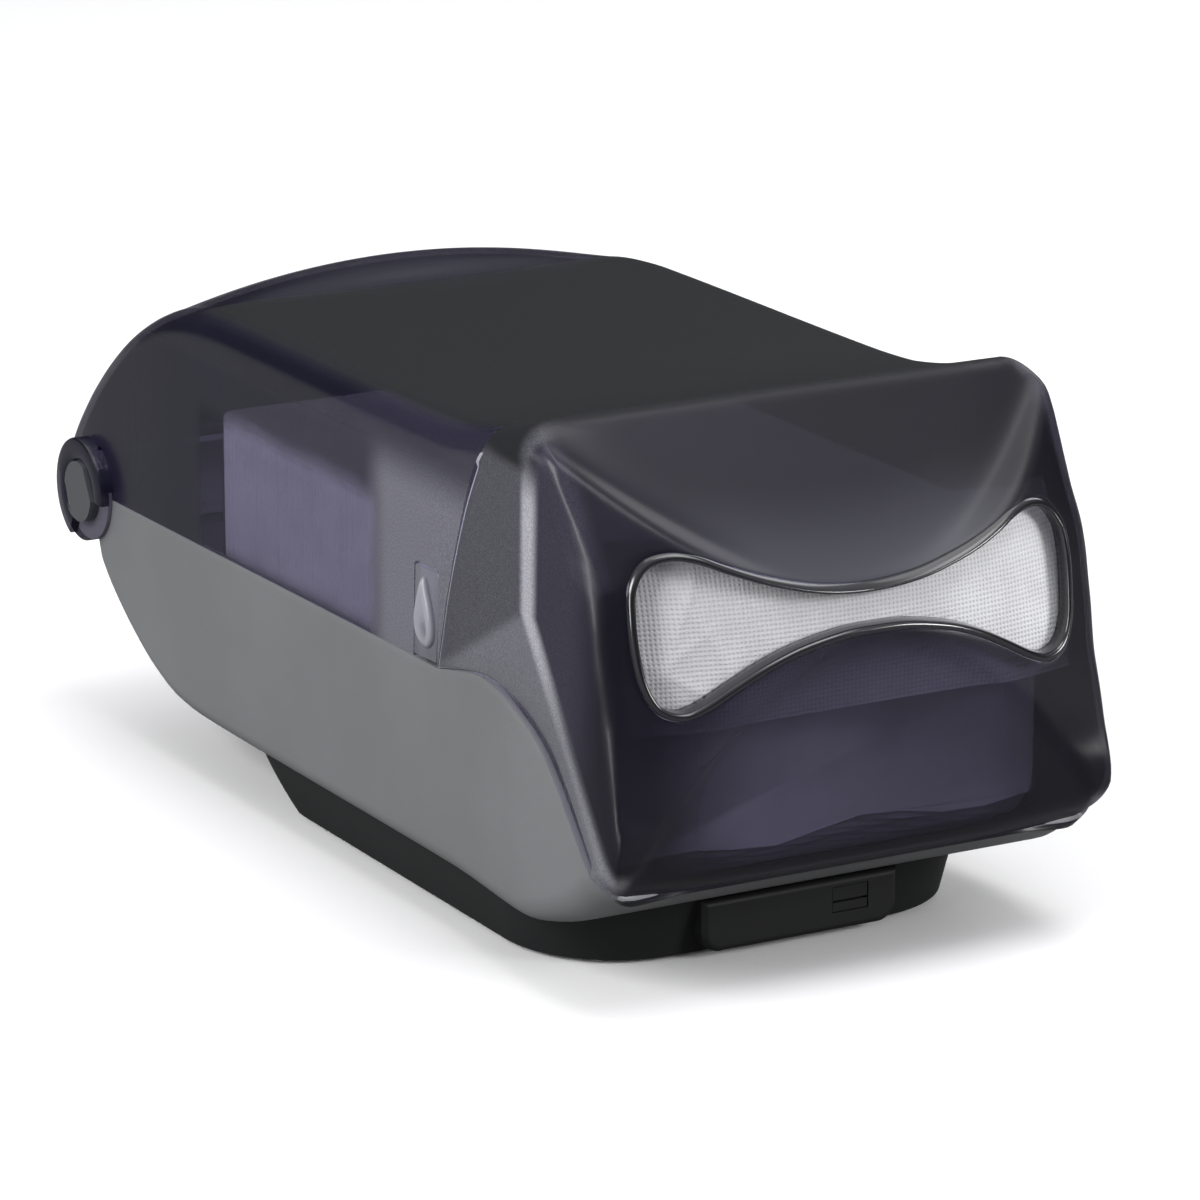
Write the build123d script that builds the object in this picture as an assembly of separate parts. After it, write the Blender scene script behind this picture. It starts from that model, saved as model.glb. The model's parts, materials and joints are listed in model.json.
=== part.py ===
from build123d import *
import math
import os

# Tabletop napkin dispenser: a lower body on a pedestal, a hinged cover, a faceplate with a bow-tie
# opening, and a spring-driven pusher behind a stack of napkins.
# Millimetres, +Z up, front (napkin opening) towards -Y, left is -X, x = 0 is the plane of symmetry.
# Parts are modelled from the centre of the base and written shifted back by ORIGIN_Y.

os.makedirs("parts", exist_ok=True)

# ---------------------------------------------------------------- driving sizes
ORIGIN_Y = 46.115          # middle of the bounding box
WALL = 2.5                 # moulded shell wall
GAP = 0.3                  # seam between two mouldings
SIDES = (("left", -1), ("right", 1))

HINGE_Y, HINGE_Z = 229.0, 84.8
PIN_R, PIN_SHANK_R = 11.0, 9.0
PIN_BORE_R = 11.06
EAR_R, BOSS_R, BARREL_R = 19.4, 17.9, 17.4
REAR_WALL_ANGLE = -108.5   # degrees about the hinge, from +Y towards +Z

BASE_HALF_X, BASE_FRONT, BASE_REAR = 79.0, -107.0, 107.0
BASE_TOP = 20.5
FOOT_H, FOOT_R = 1.5, 7.0
FEET = [(-60.0, -82.0), (60.0, -82.0), (-60.0, 88.0), (60.0, 88.0)]
BASE_SCREWS = [(side * 60.0, y) for side in (-1, 1) for y in (-70.0, 70.0)]

CATCH_X0, CATCH_X1, CATCH_Z0, CATCH_Z1 = 15.5, 28.5, 9.0, 17.2
CATCH_X, CATCH_Z = (CATCH_X0 + CATCH_X1) / 2, (CATCH_Z0 + CATCH_Z1) / 2
CATCH_REAR = -92.0

NAPKIN_HALF_X, NAPKIN_Z0, NAPKIN_H = 82.0, 26.2, 108.0
STACK_FRONT, STACK_REAR = -126.0, 137.0

MOUNT_X = 87.42            # outer face of the parts fixed against the side walls
SCREW_HOLE_X = (87.0, 89.2)  # blind screw holes in the side walls
RAIL_Z0, RAIL_Z1, RAIL_Y0, RAIL_Y1 = 62.0, 68.0, -98.0, 196.0
RAIL_Z = (RAIL_Z0 + RAIL_Z1) / 2
RAIL_SCREW_Y = (-80.0, 40.0, 160.0)

PLATE_FRONT, PLATE_T = 137.6, 3.2
PLATE_REAR = PLATE_FRONT + PLATE_T
DRUM_X, DRUM_Y, DRUM_Z = 72.4, 155.0, 46.0
DRUM_R, COIL_R, STRIP_X = 9.5, 12.2, 84.6
DRUM_BORE_R = 1.56
STRIP_HALF_Z = 5.6
ANCHOR_Y = -112.0
BRACKET_SCREW_X = 62.0
BRACKET_SCREW_Z = (DRUM_Z - 4.5, DRUM_Z + 4.5)

LATCH_TOP_Z = 119.2
RIM = 2.6                  # width of the bead round the opening

# ---------------------------------------------------------------- outlines
# Outer form: y, top beside the crown, crown height, bottom, half width, top radius, bottom radius
STATIONS = [
    (-172.0, 185.0, 0.3, 43.0, 92.5, 14.0, 14.0),
    (-150.0, 185.0, 0.3, 40.0, 92.7, 13.8, 14.0),
    (-128.0, 185.0, 0.3, 28.6, 93.8, 12.5, 12.0),
    (-112.0, 184.8, 0.3, 23.4, 94.5, 11.4, 10.0),
    (-100.0, 183.4, 0.3, 21.2, 94.6, 11.0, 8.5),
    (-84.0, 179.0, 0.3, 20.8, 93.2, 11.0, 7.5),
    (-66.0, 174.4, 0.3, 20.8, 91.5, 11.0, 7.0),
    (-44.0, 171.5, 0.3, 20.8, 90.2, 11.0, 7.0),
    (-20.0, 170.7, 0.3, 20.8, 90.0, 11.0, 7.0),
    (118.0, 169.8, 0.3, 20.8, 90.0, 10.0, 6.5),
    (134.0, 169.0, 1.6, 20.9, 90.0, 10.0, 6.5),
    (146.0, 167.8, 7.0, 21.1, 90.0, 10.0, 6.5),
    (162.0, 164.6, 10.6, 22.7, 90.0, 10.0, 6.5),
    (180.0, 158.4, 10.8, 28.2, 90.0, 10.5, 6.8),
    (198.0, 149.6, 9.2, 37.4, 90.0, 11.0, 7.2),
    (214.0, 138.6, 8.4, 48.4, 90.0, 11.0, 7.6),
    (227.0, 127.2, 7.6, 60.2, 89.9, 10.5, 8.0),
    (237.0, 116.8, 6.6, 67.0, 89.6, 9.8, 8.0),
    (244.0, 108.2, 5.2, 71.6, 89.2, 8.6, 7.6),
    (248.6, 101.0, 3.8, 75.2, 88.7, 7.0, 6.4),
    (251.4, 94.6, 2.2, 78.4, 88.0, 5.0, 4.8),
    (252.8, 89.6, 1.0, 80.6, 87.4, 3.2, 3.0),
    (253.4, 85.8, 0.4, 82.0, 86.8, 1.3, 1.3),
]
INSET_LAST_Y = 249.0       # the inset form stops before the rounded tail

# Front face profiles (z, y): on the centre line, and at x = FLANK_X
FLANK_X = 81.0
CENTRE = [
    (36, -140.0), (43, -153.5), (50, -159.5), (60, -162.0), (84, -164.0), (100, -163.0),
    (122, -160.5), (146, -156.0), (165, -147.0), (184, -133.0), (196, -124.0),
]
FLANK = [
    (36, -141.0), (43, -149.5), (48.5, -155.0), (55, -158.2), (62, -159.0), (71, -157.0),
    (81, -155.4), (91, -153.3), (100, -151.2), (110, -149.4), (119, -147.5), (129, -145.6),
    (138, -143.0), (146, -139.0), (155, -134.0), (164, -128.5), (172, -123.5), (177, -120.0),
    (184, -110.0), (196, -95.0),
]

# Seams in the side view (y, z): both start at the corner where the three mouldings meet
SEAM_Y, SEAM_Z = -38.0, 88.0
UPPER_SEAM = [
    (-41.3, 100.0), (-44.7, 112.5), (-50.4, 128.8), (-58.0, 147.0), (-66.0, 161.5),
    (-72.4, 170.6), (-74.0, 176.0), (-75.0, 205.0),
]
LOWER_SEAM = [
    (-55.0, 91.6), (-70.2, 94.0), (-86.0, 93.0), (-100.0, 89.5), (-113.0, 83.0), (-122.0, 74.5),
    (-131.0, 63.5), (-141.6, 50.0), (-148.0, 43.0), (-150.0, 38.0), (-150.5, 10.0),
]
PARTING_REAR = (300.0, 84.3)  # rear end of the line between cover and lower body

# Right half of the bow-tie opening (x, z), from top centre clockwise to bottom centre
OPENING = [
    (0.0, 131.0), (10.0, 131.5), (20.0, 132.9), (30.0, 135.3), (40.0, 138.3), (50.0, 142.0),
    (58.0, 145.2), (65.5, 146.4), (72.5, 144.4), (77.0, 138.5), (78.2, 130.0), (78.0, 120.0),
    (76.6, 110.0), (73.0, 103.2), (67.0, 100.8), (60.5, 102.6), (50.0, 108.2), (40.0, 113.2),
    (30.0, 117.0), (20.0, 119.4), (10.0, 120.9), (0.0, 121.2),
]
OPENING_SPLITS = (10, 21, 33, 42)  # last point of each spline round the full outline

# Latch outlines in the side view (y, z)
LATCH_TAB = [
    (-21.0, 88.75), (-36.6, 89.1), (-38.2, 104.0), (-39.0, LATCH_TOP_Z), (-22.6, LATCH_TOP_Z),
]
LATCH_WINDOW = [
    (-20.6, 84.0), (-37.0, 84.0), (-38.6, 104.0),
    (-39.4, LATCH_TOP_Z + 0.4), (-22.2, LATCH_TOP_Z + 0.4),
]
TEARDROP = [
    (-29.6, 117.2), (-35.6, 106.0), (-36.2, 99.5), (-31.4, 92.6), (-25.4, 95.6), (-23.4, 102.0),
]
TEARDROP_Y, TEARDROP_Z = -30.2, 102.0          # point the button tapers towards
TEARDROP_LAYERS = ((0.0, 1.0), (2.2, 0.86), (3.4, 0.55))  # height off the tab, scale

# Pedestal sections: z, half width growth, front y, rear y, front radius, rear radius
BASE_OUTSIDE = [
    (FOOT_H, 0.0, BASE_FRONT + 4, BASE_REAR, 40, 24),
    (11.0, 1.5, BASE_FRONT + 2, 124.0, 40, 28),
    (BASE_TOP, 3.0, BASE_FRONT, 136.0, 40, 32),
]
BASE_INSIDE = [
    (-1.0, -3.4, BASE_FRONT + 7.4, BASE_REAR - 6, 36.6, 20),
    (11.0, -1.9, BASE_FRONT + 5.4, 120.0, 36.6, 24),
    (17.6, -0.6, BASE_FRONT + 3.4, 128.5, 36.6, 28),
]


# ---------------------------------------------------------------- solid helpers
def box(x0, x1, y0, y1, z0, z1):
    """Box between limits; the x limits may come in either order."""
    x0, x1 = sorted((x0, x1))
    return Pos((x0 + x1) / 2, (y0 + y1) / 2, (z0 + z1) / 2) * Box(x1 - x0, y1 - y0, z1 - z0)


def rod_x(radius, x0, x1, y, z):
    x0, x1 = sorted((x0, x1))
    return Pos((x0 + x1) / 2, y, z) * Rot(0, 90, 0) * Cylinder(radius, x1 - x0)


def rod_y(radius, y0, y1, x, z):
    return Pos(x, (y0 + y1) / 2, z) * Rot(90, 0, 0) * Cylinder(radius, y1 - y0)


def rod_z(radius, z0, z1, x, y):
    return Pos(x, y, (z0 + z1) / 2) * Cylinder(radius, z1 - z0)


def prism_x(points, x0, x1):
    """Polygon of (y, z) points, extruded along X."""
    x0, x1 = sorted((x0, x1))
    outline = Wire.make_polygon([Vector(x0, y, z) for y, z in points], close=True)
    return Solid.extrude(Face(outline), Vector(x1 - x0, 0, 0))


def hinge_rod(radius, x0, x1):
    return rod_x(radius, x0, x1, HINGE_Y, HINGE_Z)


def hinge_ring(outer_r, inner_r, x0, x1):
    x0, x1 = sorted((x0, x1))
    return hinge_rod(outer_r, x0, x1) - hinge_rod(inner_r, x0 - 1, x1 + 1)


def hinge_point(radius, degrees):
    """(y, z) at a radius and angle about the hinge, from +Y towards +Z."""
    angle = math.radians(degrees)
    return HINGE_Y + radius * math.cos(angle), HINGE_Z + radius * math.sin(angle)


def hinge_sector(radius, start, end, x0, x1):
    """Pie slice about the hinge that covers at least the given radius."""
    steps = max(2, int(abs(end - start) / 15) + 1)
    fan = [hinge_point(radius * 1.4, start + (end - start) * i / steps) for i in range(steps + 1)]
    return prism_x([(HINGE_Y, HINGE_Z)] + fan, x0, x1)


def keep_largest(shape):
    return max(shape.solids(), key=lambda solid: solid.volume)


def save(name, shape):
    shape = Pos(0, -ORIGIN_Y, 0) * shape
    shape.label = name
    export_step(shape, os.path.join("parts", name + ".step"))


def save_group(name, solids):
    save(name, Compound(children=solids))


def rounded_wire(place, half, low, high, low_r, high_r, crown=0.0):
    """Closed outline with four corner arcs; place(x, v) gives the point, v from low to high.

    A crown bows the high edge outward.
    """
    def line(*points):
        return Edge.make_line(*[place(*point) for point in points])

    def arc(*points):
        return Edge.make_three_point_arc(*[place(*point) for point in points])

    low_x, high_x = half - low_r, half - high_r
    low_v, high_v = low + low_r, high - high_r
    low_diag, high_diag = low_r * math.sqrt(0.5), high_r * math.sqrt(0.5)
    if crown:
        high_edge = arc((high_x, high), (0, high + crown), (-high_x, high))
    else:
        high_edge = line((high_x, high), (-high_x, high))
    return Wire([
        line((-low_x, low), (low_x, low)),
        arc((low_x, low), (low_x + low_diag, low_v - low_diag), (half, low_v)),
        line((half, low_v), (half, high_v)),
        arc((half, high_v), (high_x + high_diag, high_v + high_diag), (high_x, high)),
        high_edge,
        arc((-high_x, high), (-high_x - high_diag, high_v + high_diag), (-half, high_v)),
        line((-half, high_v), (-half, low_v)),
        arc((-half, low_v), (-low_x - low_diag, low_v - low_diag), (-low_x, low)),
    ])


# ---------------------------------------------------------------- outer form and front face
def hermite(table, t):
    """Monotone cubic through (t, value) pairs, straight beyond the ends."""
    count = len(table)
    knots = [knot for knot, _ in table]
    values = [value for _, value in table]
    slopes = [(values[i + 1] - values[i]) / (knots[i + 1] - knots[i]) for i in range(count - 1)]
    tangents = [slopes[0]]
    for before, after in zip(slopes, slopes[1:]):
        turning = before * after <= 0
        tangents.append(0.0 if turning else 2 * before * after / (before + after))
    tangents.append(slopes[-1])
    if t <= knots[0]:
        return values[0] + slopes[0] * (t - knots[0])
    if t >= knots[-1]:
        return values[-1] + slopes[-1] * (t - knots[-1])
    i = max(k for k in range(count - 1) if knots[k] <= t)
    step = knots[i + 1] - knots[i]
    s = (t - knots[i]) / step
    return ((2 * s**3 - 3 * s**2 + 1) * values[i]
            + (s**3 - 2 * s**2 + s) * step * tangents[i]
            + (-2 * s**3 + 3 * s**2) * values[i + 1]
            + (s**3 - s**2) * step * tangents[i + 1])


def smooth_max(a, b, blend):
    """Larger of two values, rounded over where they differ by less than blend."""
    mix = min(1.0, max(0.0, 0.5 + 0.5 * (a - b) / blend))
    return b * (1 - mix) + a * mix + blend * mix * (1 - mix)


def face_y(x, z):
    """Front surface: a crowned band with an upper and a lower finger scoop."""
    across = abs(x)
    centre, flank = hermite(CENTRE, z), hermite(FLANK, z)
    band = centre + (flank - centre) * (min(across, 100.0) / FLANK_X) ** 2.3
    if across > FLANK_X:
        band += 12.0 * ((across - FLANK_X) / 12.5) ** 2
    upper_arch = 133.0 + 50.0 * (across / 94.0) ** 1.75
    upper = -104.0 - (184.5 - z) - 3.0 * max(0.0, upper_arch - z)
    lower_arch = 112.0 - 62.0 * (across / 85.0) ** 2
    lower = -158.0 - 1.5 * max(0.0, z - lower_arch)
    return smooth_max(smooth_max(band, upper, 7.0), lower, 5.0)


def face_cut(shift):
    """Everything in front of the front surface moved back (+Y) by shift."""
    xs = [-100.0 + 20.0 * i for i in range(11)]
    zs = [20.0 + 18.0 * j for j in range(11)]
    grid = [[Vector(x, face_y(x, z) + shift, z) for z in zs] for x in xs]
    surface = Face.make_surface_from_array_of_points(grid, tol=1.2, max_deg=3)
    return Solid.extrude(surface, Vector(0, -120, 0))


def envelope(inset):
    """Whole outer form, inset square to its top and bottom slopes."""
    wires = []
    for i, (y, top, crown, bottom, half, top_r, bottom_r) in enumerate(STATIONS):
        if inset:
            if y > INSET_LAST_Y:
                break
            before, after = STATIONS[max(i - 1, 0)], STATIONS[i + 1]
            top_slope = (after[1] - before[1]) / (after[0] - before[0])
            bottom_slope = (after[3] - before[3]) / (after[0] - before[0])
            top -= inset * math.sqrt(1 + top_slope**2)
            bottom += inset * math.sqrt(1 + bottom_slope**2)
            half -= inset
            top_r, bottom_r = max(top_r - inset, 1.5), max(bottom_r - inset, 1.5)
        wires.append(rounded_wire(lambda x, z: Vector(x, y, z),
                                  half, bottom, top, bottom_r, top_r, crown))
    return Solid.make_loft(wires, ruled=True)


def seam_zones():
    """Blocks holding the cover, the faceplate and the lower body, half a GAP off each seam."""
    half = GAP / 2
    diag = half * 0.7
    rear_y, rear_z = PARTING_REAR
    cover = ([(y + half, z) for y, z in UPPER_SEAM]
             + [(rear_y, 205.0), (rear_y, rear_z + half), (SEAM_Y + half, SEAM_Z + half)])
    face = ([(y - half, z) for y, z in reversed(UPPER_SEAM)] + [(SEAM_Y - half, SEAM_Z + half)]
            + [(y - diag, z + diag) for y, z in LOWER_SEAM] + [(-200.0, 10.0), (-200.0, 205.0)])
    body = ([(rear_y, rear_z - half), (SEAM_Y, SEAM_Z - half)]
            + [(y + diag, z - diag) for y, z in LOWER_SEAM] + [(-150.0, 0.0), (rear_y, 0.0)])
    return [prism_x(points, -130, 130) for points in (cover, face, body)]


# ---------------------------------------------------------------- shell mouldings
def lower_body(skin, zone, outer):
    """Tub open at the top and front, with the hinge barrel across its rear."""
    body = keep_largest(skin & zone)
    swing = hinge_sector(60, -108, 20, -130, 130) - hinge_rod(BARREL_R, -131, 131)
    body = keep_largest(body - swing)
    barrel = hinge_ring(BARREL_R, BARREL_R - WALL, -88.0, 88.0)
    body = body + (barrel & hinge_sector(30, -126, 48, -100, 100))
    for side in (-1, 1):
        cheek = hinge_rod(BARREL_R, side * 87.5, side * 90.0)
        boss = hinge_rod(BOSS_R, side * 89.9, side * 91.6)
        body = body + cheek + boss
        body = body - hinge_rod(PIN_SHANK_R + 0.1, side * 80, side * 95)

    # rear wall under the barrel
    top_y, top_z = hinge_point(16.2, REAR_WALL_ANGLE)
    low_y, low_z = hinge_point(50.0, REAR_WALL_ANGLE)
    wall = [(top_y, top_z), (low_y, low_z), (low_y - 2.6, low_z + 0.8), (top_y - 2.6, top_z + 0.8)]
    body = body + (prism_x(wall, -88.2, 88.2) & outer)

    # floor ribs the napkins rest on
    for x in (-62.0, -34.0, 34.0, 62.0):
        body = body + box(x - 1.5, x + 1.5, -104.0, 136.0, 22.6, NAPKIN_Z0 - 0.2)
    body = keep_largest(body)

    # blind holes for the rail and anchor screws, through holes for the base screws
    for side in (-1, 1):
        x0, x1 = (side * x for x in SCREW_HOLE_X)
        for y in RAIL_SCREW_Y:
            body = body - rod_x(1.5, x0, x1, y, RAIL_Z)
        body = body - rod_x(1.5, x0, x1, ANCHOR_Y, DRUM_Z)
    for x, y in BASE_SCREWS:
        body = body - rod_z(2.1, 15, 30, x, y)
    return keep_largest(body)


def cover_shell(skin, zone):
    """Cover with two hinge ears and two latch windows."""
    cover = keep_largest(skin & zone)
    cover = cover - hinge_rod(BARREL_R + 0.6, -95, 95)
    cover = keep_largest(cover)
    for side in (-1, 1):
        web = hinge_ring(EAR_R, BOSS_R + 0.4, side * 88.2, side * 95.2)
        web = web & hinge_sector(40, 9, 171, -130, 130)
        ear = hinge_ring(EAR_R, PIN_BORE_R, side * 91.9, side * 95.2)
        ear = ear - hinge_sector(40, -175, -65, -130, 130)
        cover = cover + web + ear
    for side in (-1, 1):
        cover = cover - prism_x(LATCH_WINDOW, side * 80, side * 100)
    return keep_largest(cover)


def opening_prism(grow, y0, y1):
    """Prism along Y over the bow-tie outline, grown outward by grow."""
    points = OPENING + [(-x, z) for x, z in reversed(OPENING[1:-1])]
    count = len(points)
    loop = []
    for i, (x, z) in enumerate(points):
        before, after = points[i - 1], points[(i + 1) % count]
        dx, dz = after[0] - before[0], after[1] - before[1]
        length = math.hypot(dx, dz)
        loop.append((x - dz / length * grow, z + dx / length * grow))
    loop.append(loop[0])
    edges = []
    start = 0
    for stop in OPENING_SPLITS:
        edges.append(Edge.make_spline([Vector(x, y0, z) for x, z in loop[start:stop + 1]]))
        start = stop
    return Solid.extrude(Face(Wire(edges)), Vector(0, y1 - y0, 0))


def faceplate(skin, zone):
    plate = keep_largest(skin & zone)
    return keep_largest(plate - opening_prism(RIM + 0.15, -190.0, -90.0))


def opening_rim():
    """Bead that frames the opening, standing 1 mm proud of the face."""
    band = opening_prism(RIM, -190.0, -90.0) - opening_prism(0, -191.0, -89.0)
    return keep_largest((band - face_cut(-1.0)) & face_cut(4.4))


def latch(side):
    """Tab with a teardrop push button outside and a tongue inside."""
    tab = prism_x(LATCH_TAB, side * 87.6, side * 90.0)
    wires = []
    for height, scale in TEARDROP_LAYERS:
        points = [Vector(side * (89.2 + height),
                         TEARDROP_Y + (y - TEARDROP_Y) * scale,
                         TEARDROP_Z + (z - TEARDROP_Z) * scale) for y, z in TEARDROP]
        wires.append(Wire([Edge.make_spline(points, periodic=True)]))
    button = Solid.make_loft(wires, ruled=True)
    tongue = box(side * 85.5, side * 87.15, -34.0, -24.0, 80.0, 95.0)
    root = box(side * 85.5, side * 88.0, -34.0, -24.0, 89.6, 95.0)
    return keep_largest(tab + button + tongue + root)


def hinge_pin(side):
    """Stub with a round shank inside and a double-D head outside."""
    shank = hinge_rod(PIN_SHANK_R, side * 85.0, side * 91.75)
    head = hinge_rod(PIN_R, side * 91.7, side * 95.5)
    cut_x0, cut_x1 = 91.7, 99.0
    cutters = (Pos(0, 14.0, 0) * Box(cut_x1 - cut_x0, 10.0, 40.0)
               + Pos(0, -14.0, 0) * Box(cut_x1 - cut_x0, 10.0, 40.0))
    middle = side * (cut_x0 + cut_x1) / 2
    flats = Pos(0, HINGE_Y, HINGE_Z) * Rot(-28, 0, 0) * Pos(middle, 0, 0) * cutters
    return keep_largest(shank + (head - flats))


# ---------------------------------------------------------------- pedestal
def base_loft(rows):
    wires = [rounded_wire(lambda x, y: Vector(x, y, z),
                          BASE_HALF_X + growth, front, rear, front_r, rear_r)
             for z, growth, front, rear, front_r, rear_r in rows]
    return Solid.make_loft(wires, ruled=False)


def catch_block(grow, y0, y1):
    """Block over the catch section, grown on all four sides."""
    return box(CATCH_X0 - grow, CATCH_X1 + grow, y0, y1, CATCH_Z0 - grow, CATCH_Z1 + grow)


def base_pedestal():
    """Hollow skirt with a raised front panel that carries the catch."""
    base = base_loft(BASE_OUTSIDE)
    base = base - base_loft(BASE_INSIDE)
    panel = box(-33.0, 40.0, -110.5, -96.0, FOOT_H + 1.0, BASE_TOP)
    panel = fillet(panel.edges().filter_by(Axis.Y).sort_by(Axis.Z)[:2], 7.0)
    panel = fillet(panel.faces().sort_by(Axis.Y)[0].edges(), 2.2)
    base = base + panel
    base = base - catch_block(0.3, -112.0, -92.0)

    # screw posts and foot pads inside the skirt
    for x, y in BASE_SCREWS:
        base = base + rod_z(5.0, 8.0, BASE_TOP - 0.05, x, y)
        base = base - rod_z(2.1, -5, 30, x, y) - rod_z(4.0, -5, 12.0, x, y)
    for x, y in FEET:
        base = base + rod_z(FOOT_R + 1.2, FOOT_H + 0.5, 18.5, x, y)
        base = base - rod_z(3.0, FOOT_H, 7.0, x, y)

    # catch guide behind the front panel
    guide = box(CATCH_X0 - 2.3, CATCH_X1 + 2.3, -105.0, -78.0, CATCH_Z0 - 2.3, 18.0)
    guide = guide - catch_block(0.3, -110.0, -80.5)
    return keep_largest(base + guide)


def rubber_foot(x, y):
    pad = rod_z(FOOT_R, 0, FOOT_H + 0.45, x, y)
    return keep_largest(pad + rod_z(2.9, FOOT_H, 6.5, x, y))


def base_screw(x, y):
    screw = rod_z(2.0, 8.0, 24.0, x, y) + rod_z(3.7, 8.9, 11.9, x, y)
    return keep_largest(screw - rod_z(1.2, 5.0, 10.4, x, y))


def base_catch():
    """Push button with a groove across its front and a spring peg at its rear."""
    catch = catch_block(0, -110.2, CATCH_REAR)
    catch = catch - box(CATCH_X0 - 1, CATCH_X1 + 1, -111.0, -108.6, 12.0, 12.8)
    catch = catch + rod_y(1.6, CATCH_REAR - 0.1, -88.5, CATCH_X, CATCH_Z)
    return keep_largest(catch)


def base_catch_spring():
    front, rear, turns = -91.5, -81.2, 6
    length = rear - front
    path = Helix(pitch=length / turns, height=length, radius=2.6)
    profile = Plane(origin=path @ 0, z_dir=path % 0) * Circle(0.35)
    coil = Pos(CATCH_X, front, CATCH_Z) * Rot(-90, 0, 0) * sweep(profile, path=path)
    solids = coil.solids()
    return solids[0] if len(solids) == 1 else Compound(children=list(solids))


# ---------------------------------------------------------------- side rails
def guide_rail(side):
    rail = box(side * 84.0, side * MOUNT_X, RAIL_Y0, RAIL_Y1, RAIL_Z0, RAIL_Z1)
    for y in RAIL_SCREW_Y:
        rail = rail - rod_x(1.4, side * 83.0, side * 88.0, y, RAIL_Z)
        rail = rail - rod_x(2.5, side * 83.0, side * 85.2, y, RAIL_Z)
    return keep_largest(rail)


def rail_screw(side, y):
    shank = rod_x(1.3, side * 84.1, side * 89.1, y, RAIL_Z)
    return keep_largest(shank + rod_x(2.4, side * 84.1, side * 85.15, y, RAIL_Z))


# ---------------------------------------------------------------- pusher and its springs
def pusher_plate():
    """Ribbed plate with a finger grip and a shoe round each rail."""
    plate = box(-80.0, 80.0, PLATE_FRONT, PLATE_REAR, 28.0, 128.0)
    plate = fillet(plate.edges().filter_by(Axis.Y), 8.0)
    rib_y0, rib_y1 = PLATE_REAR - 0.2, PLATE_REAR + 5.0
    for x in (-50.0, -25.0, 0.0, 25.0, 50.0):
        plate = plate + box(x - 1.2, x + 1.2, rib_y0, rib_y1, 32.0, 124.0)
    for z in (64.0, 96.0):
        plate = plate + box(-74.0, 74.0, rib_y0, rib_y1, z - 1.2, z + 1.2)
    grip = box(-22.0, 22.0, PLATE_REAR - 0.2, PLATE_REAR + 16.0, 121.0, 124.0)
    grip = fillet(grip.edges().filter_by(Axis.Z).sort_by(Axis.Y)[-2:], 6.0)
    plate = plate + grip
    for side in (-1, 1):
        shoe = box(side * 76.0, side * 86.9, PLATE_REAR - 3.0, PLATE_REAR + 17.0, 58.5, 71.5)
        shoe = shoe - box(side * 83.8, side * 90.0, PLATE_REAR - 4, PLATE_REAR + 20,
                          RAIL_Z0 - 0.2, RAIL_Z1 + 0.2)
        plate = plate + shoe
    plate = keep_largest(plate)
    for side in (-1, 1):
        for z in BRACKET_SCREW_Z:
            plate = plate - rod_y(1.5, PLATE_REAR - 2.6, PLATE_REAR + 1, side * BRACKET_SCREW_X, z)
    return keep_largest(plate)


def drum_bracket(side):
    """Back plate with a flange under and over the drum."""
    front = PLATE_REAR + 0.1
    back = box(side * 58.0, side * 70.0, front, PLATE_REAR + 1.7, 34.0, 57.5)
    flanges = box(side * 58.0, side * 79.0, front, DRUM_Y + 5.0, DRUM_Z - 9.4, DRUM_Z - 7.8)
    flanges = flanges + box(side * 58.0, side * 79.0, front, DRUM_Y + 5.0,
                            DRUM_Z + 7.8, DRUM_Z + 9.4)
    flanges = flanges - box(side * 57.0, side * 60.0, PLATE_REAR + 5.0, 180, 30, 60)
    bracket = back + flanges
    bracket = bracket - rod_z(DRUM_BORE_R, 30, 60, side * DRUM_X, DRUM_Y)
    for z in BRACKET_SCREW_Z:
        bracket = bracket - rod_y(1.6, PLATE_REAR - 1, PLATE_REAR + 3, side * BRACKET_SCREW_X, z)
    return keep_largest(bracket)


def bracket_screw(side, z):
    x = side * BRACKET_SCREW_X
    shank = rod_y(1.4, PLATE_REAR - 2.0, PLATE_REAR + 2.0, x, z)
    return keep_largest(shank + rod_y(2.6, PLATE_REAR + 1.75, PLATE_REAR + 3.6, x, z))


def drum_rod(side, radius, z0, z1):
    return rod_z(radius, z0, z1, side * DRUM_X, DRUM_Y)


def drum_pin(side):
    return keep_largest(drum_rod(side, 1.5, 36.0, 56.4) + drum_rod(side, 2.4, 55.5, 56.6))


def spring_drum(side):
    """Drum with a shallow groove between two end flanges."""
    drum = drum_rod(side, DRUM_R, DRUM_Z - 7.4, DRUM_Z + 7.4)
    drum = drum - drum_rod(side, DRUM_R + 1, DRUM_Z - 6.2, DRUM_Z + 6.2)
    drum = drum + drum_rod(side, DRUM_R - 0.2, DRUM_Z - 6.3, DRUM_Z + 6.3)
    return keep_largest(drum - drum_rod(side, DRUM_BORE_R, 30, 60))


def pusher_spring(side):
    """Coil on the drum and the strip that runs forward to the anchor."""
    z0, z1 = DRUM_Z - STRIP_HALF_Z, DRUM_Z + STRIP_HALF_Z
    coil = drum_rod(side, COIL_R, z0, z1) - drum_rod(side, DRUM_R + 0.05, 35, 60)
    strip = box(side * (STRIP_X - 0.4), side * (STRIP_X + 0.05), -118.0, DRUM_Y, z0, z1)
    strip = strip - rod_x(1.6, side * 80, side * 90, ANCHOR_Y, DRUM_Z)
    return keep_largest(coil + strip)


def spring_anchor(side):
    block = box(side * (STRIP_X + 0.12), side * MOUNT_X, ANCHOR_Y - 7.0, ANCHOR_Y + 7.0,
                DRUM_Z - 6.6, DRUM_Z + 6.6)
    return keep_largest(block - rod_x(1.5, side * 80, side * 90, ANCHOR_Y, DRUM_Z))


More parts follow.
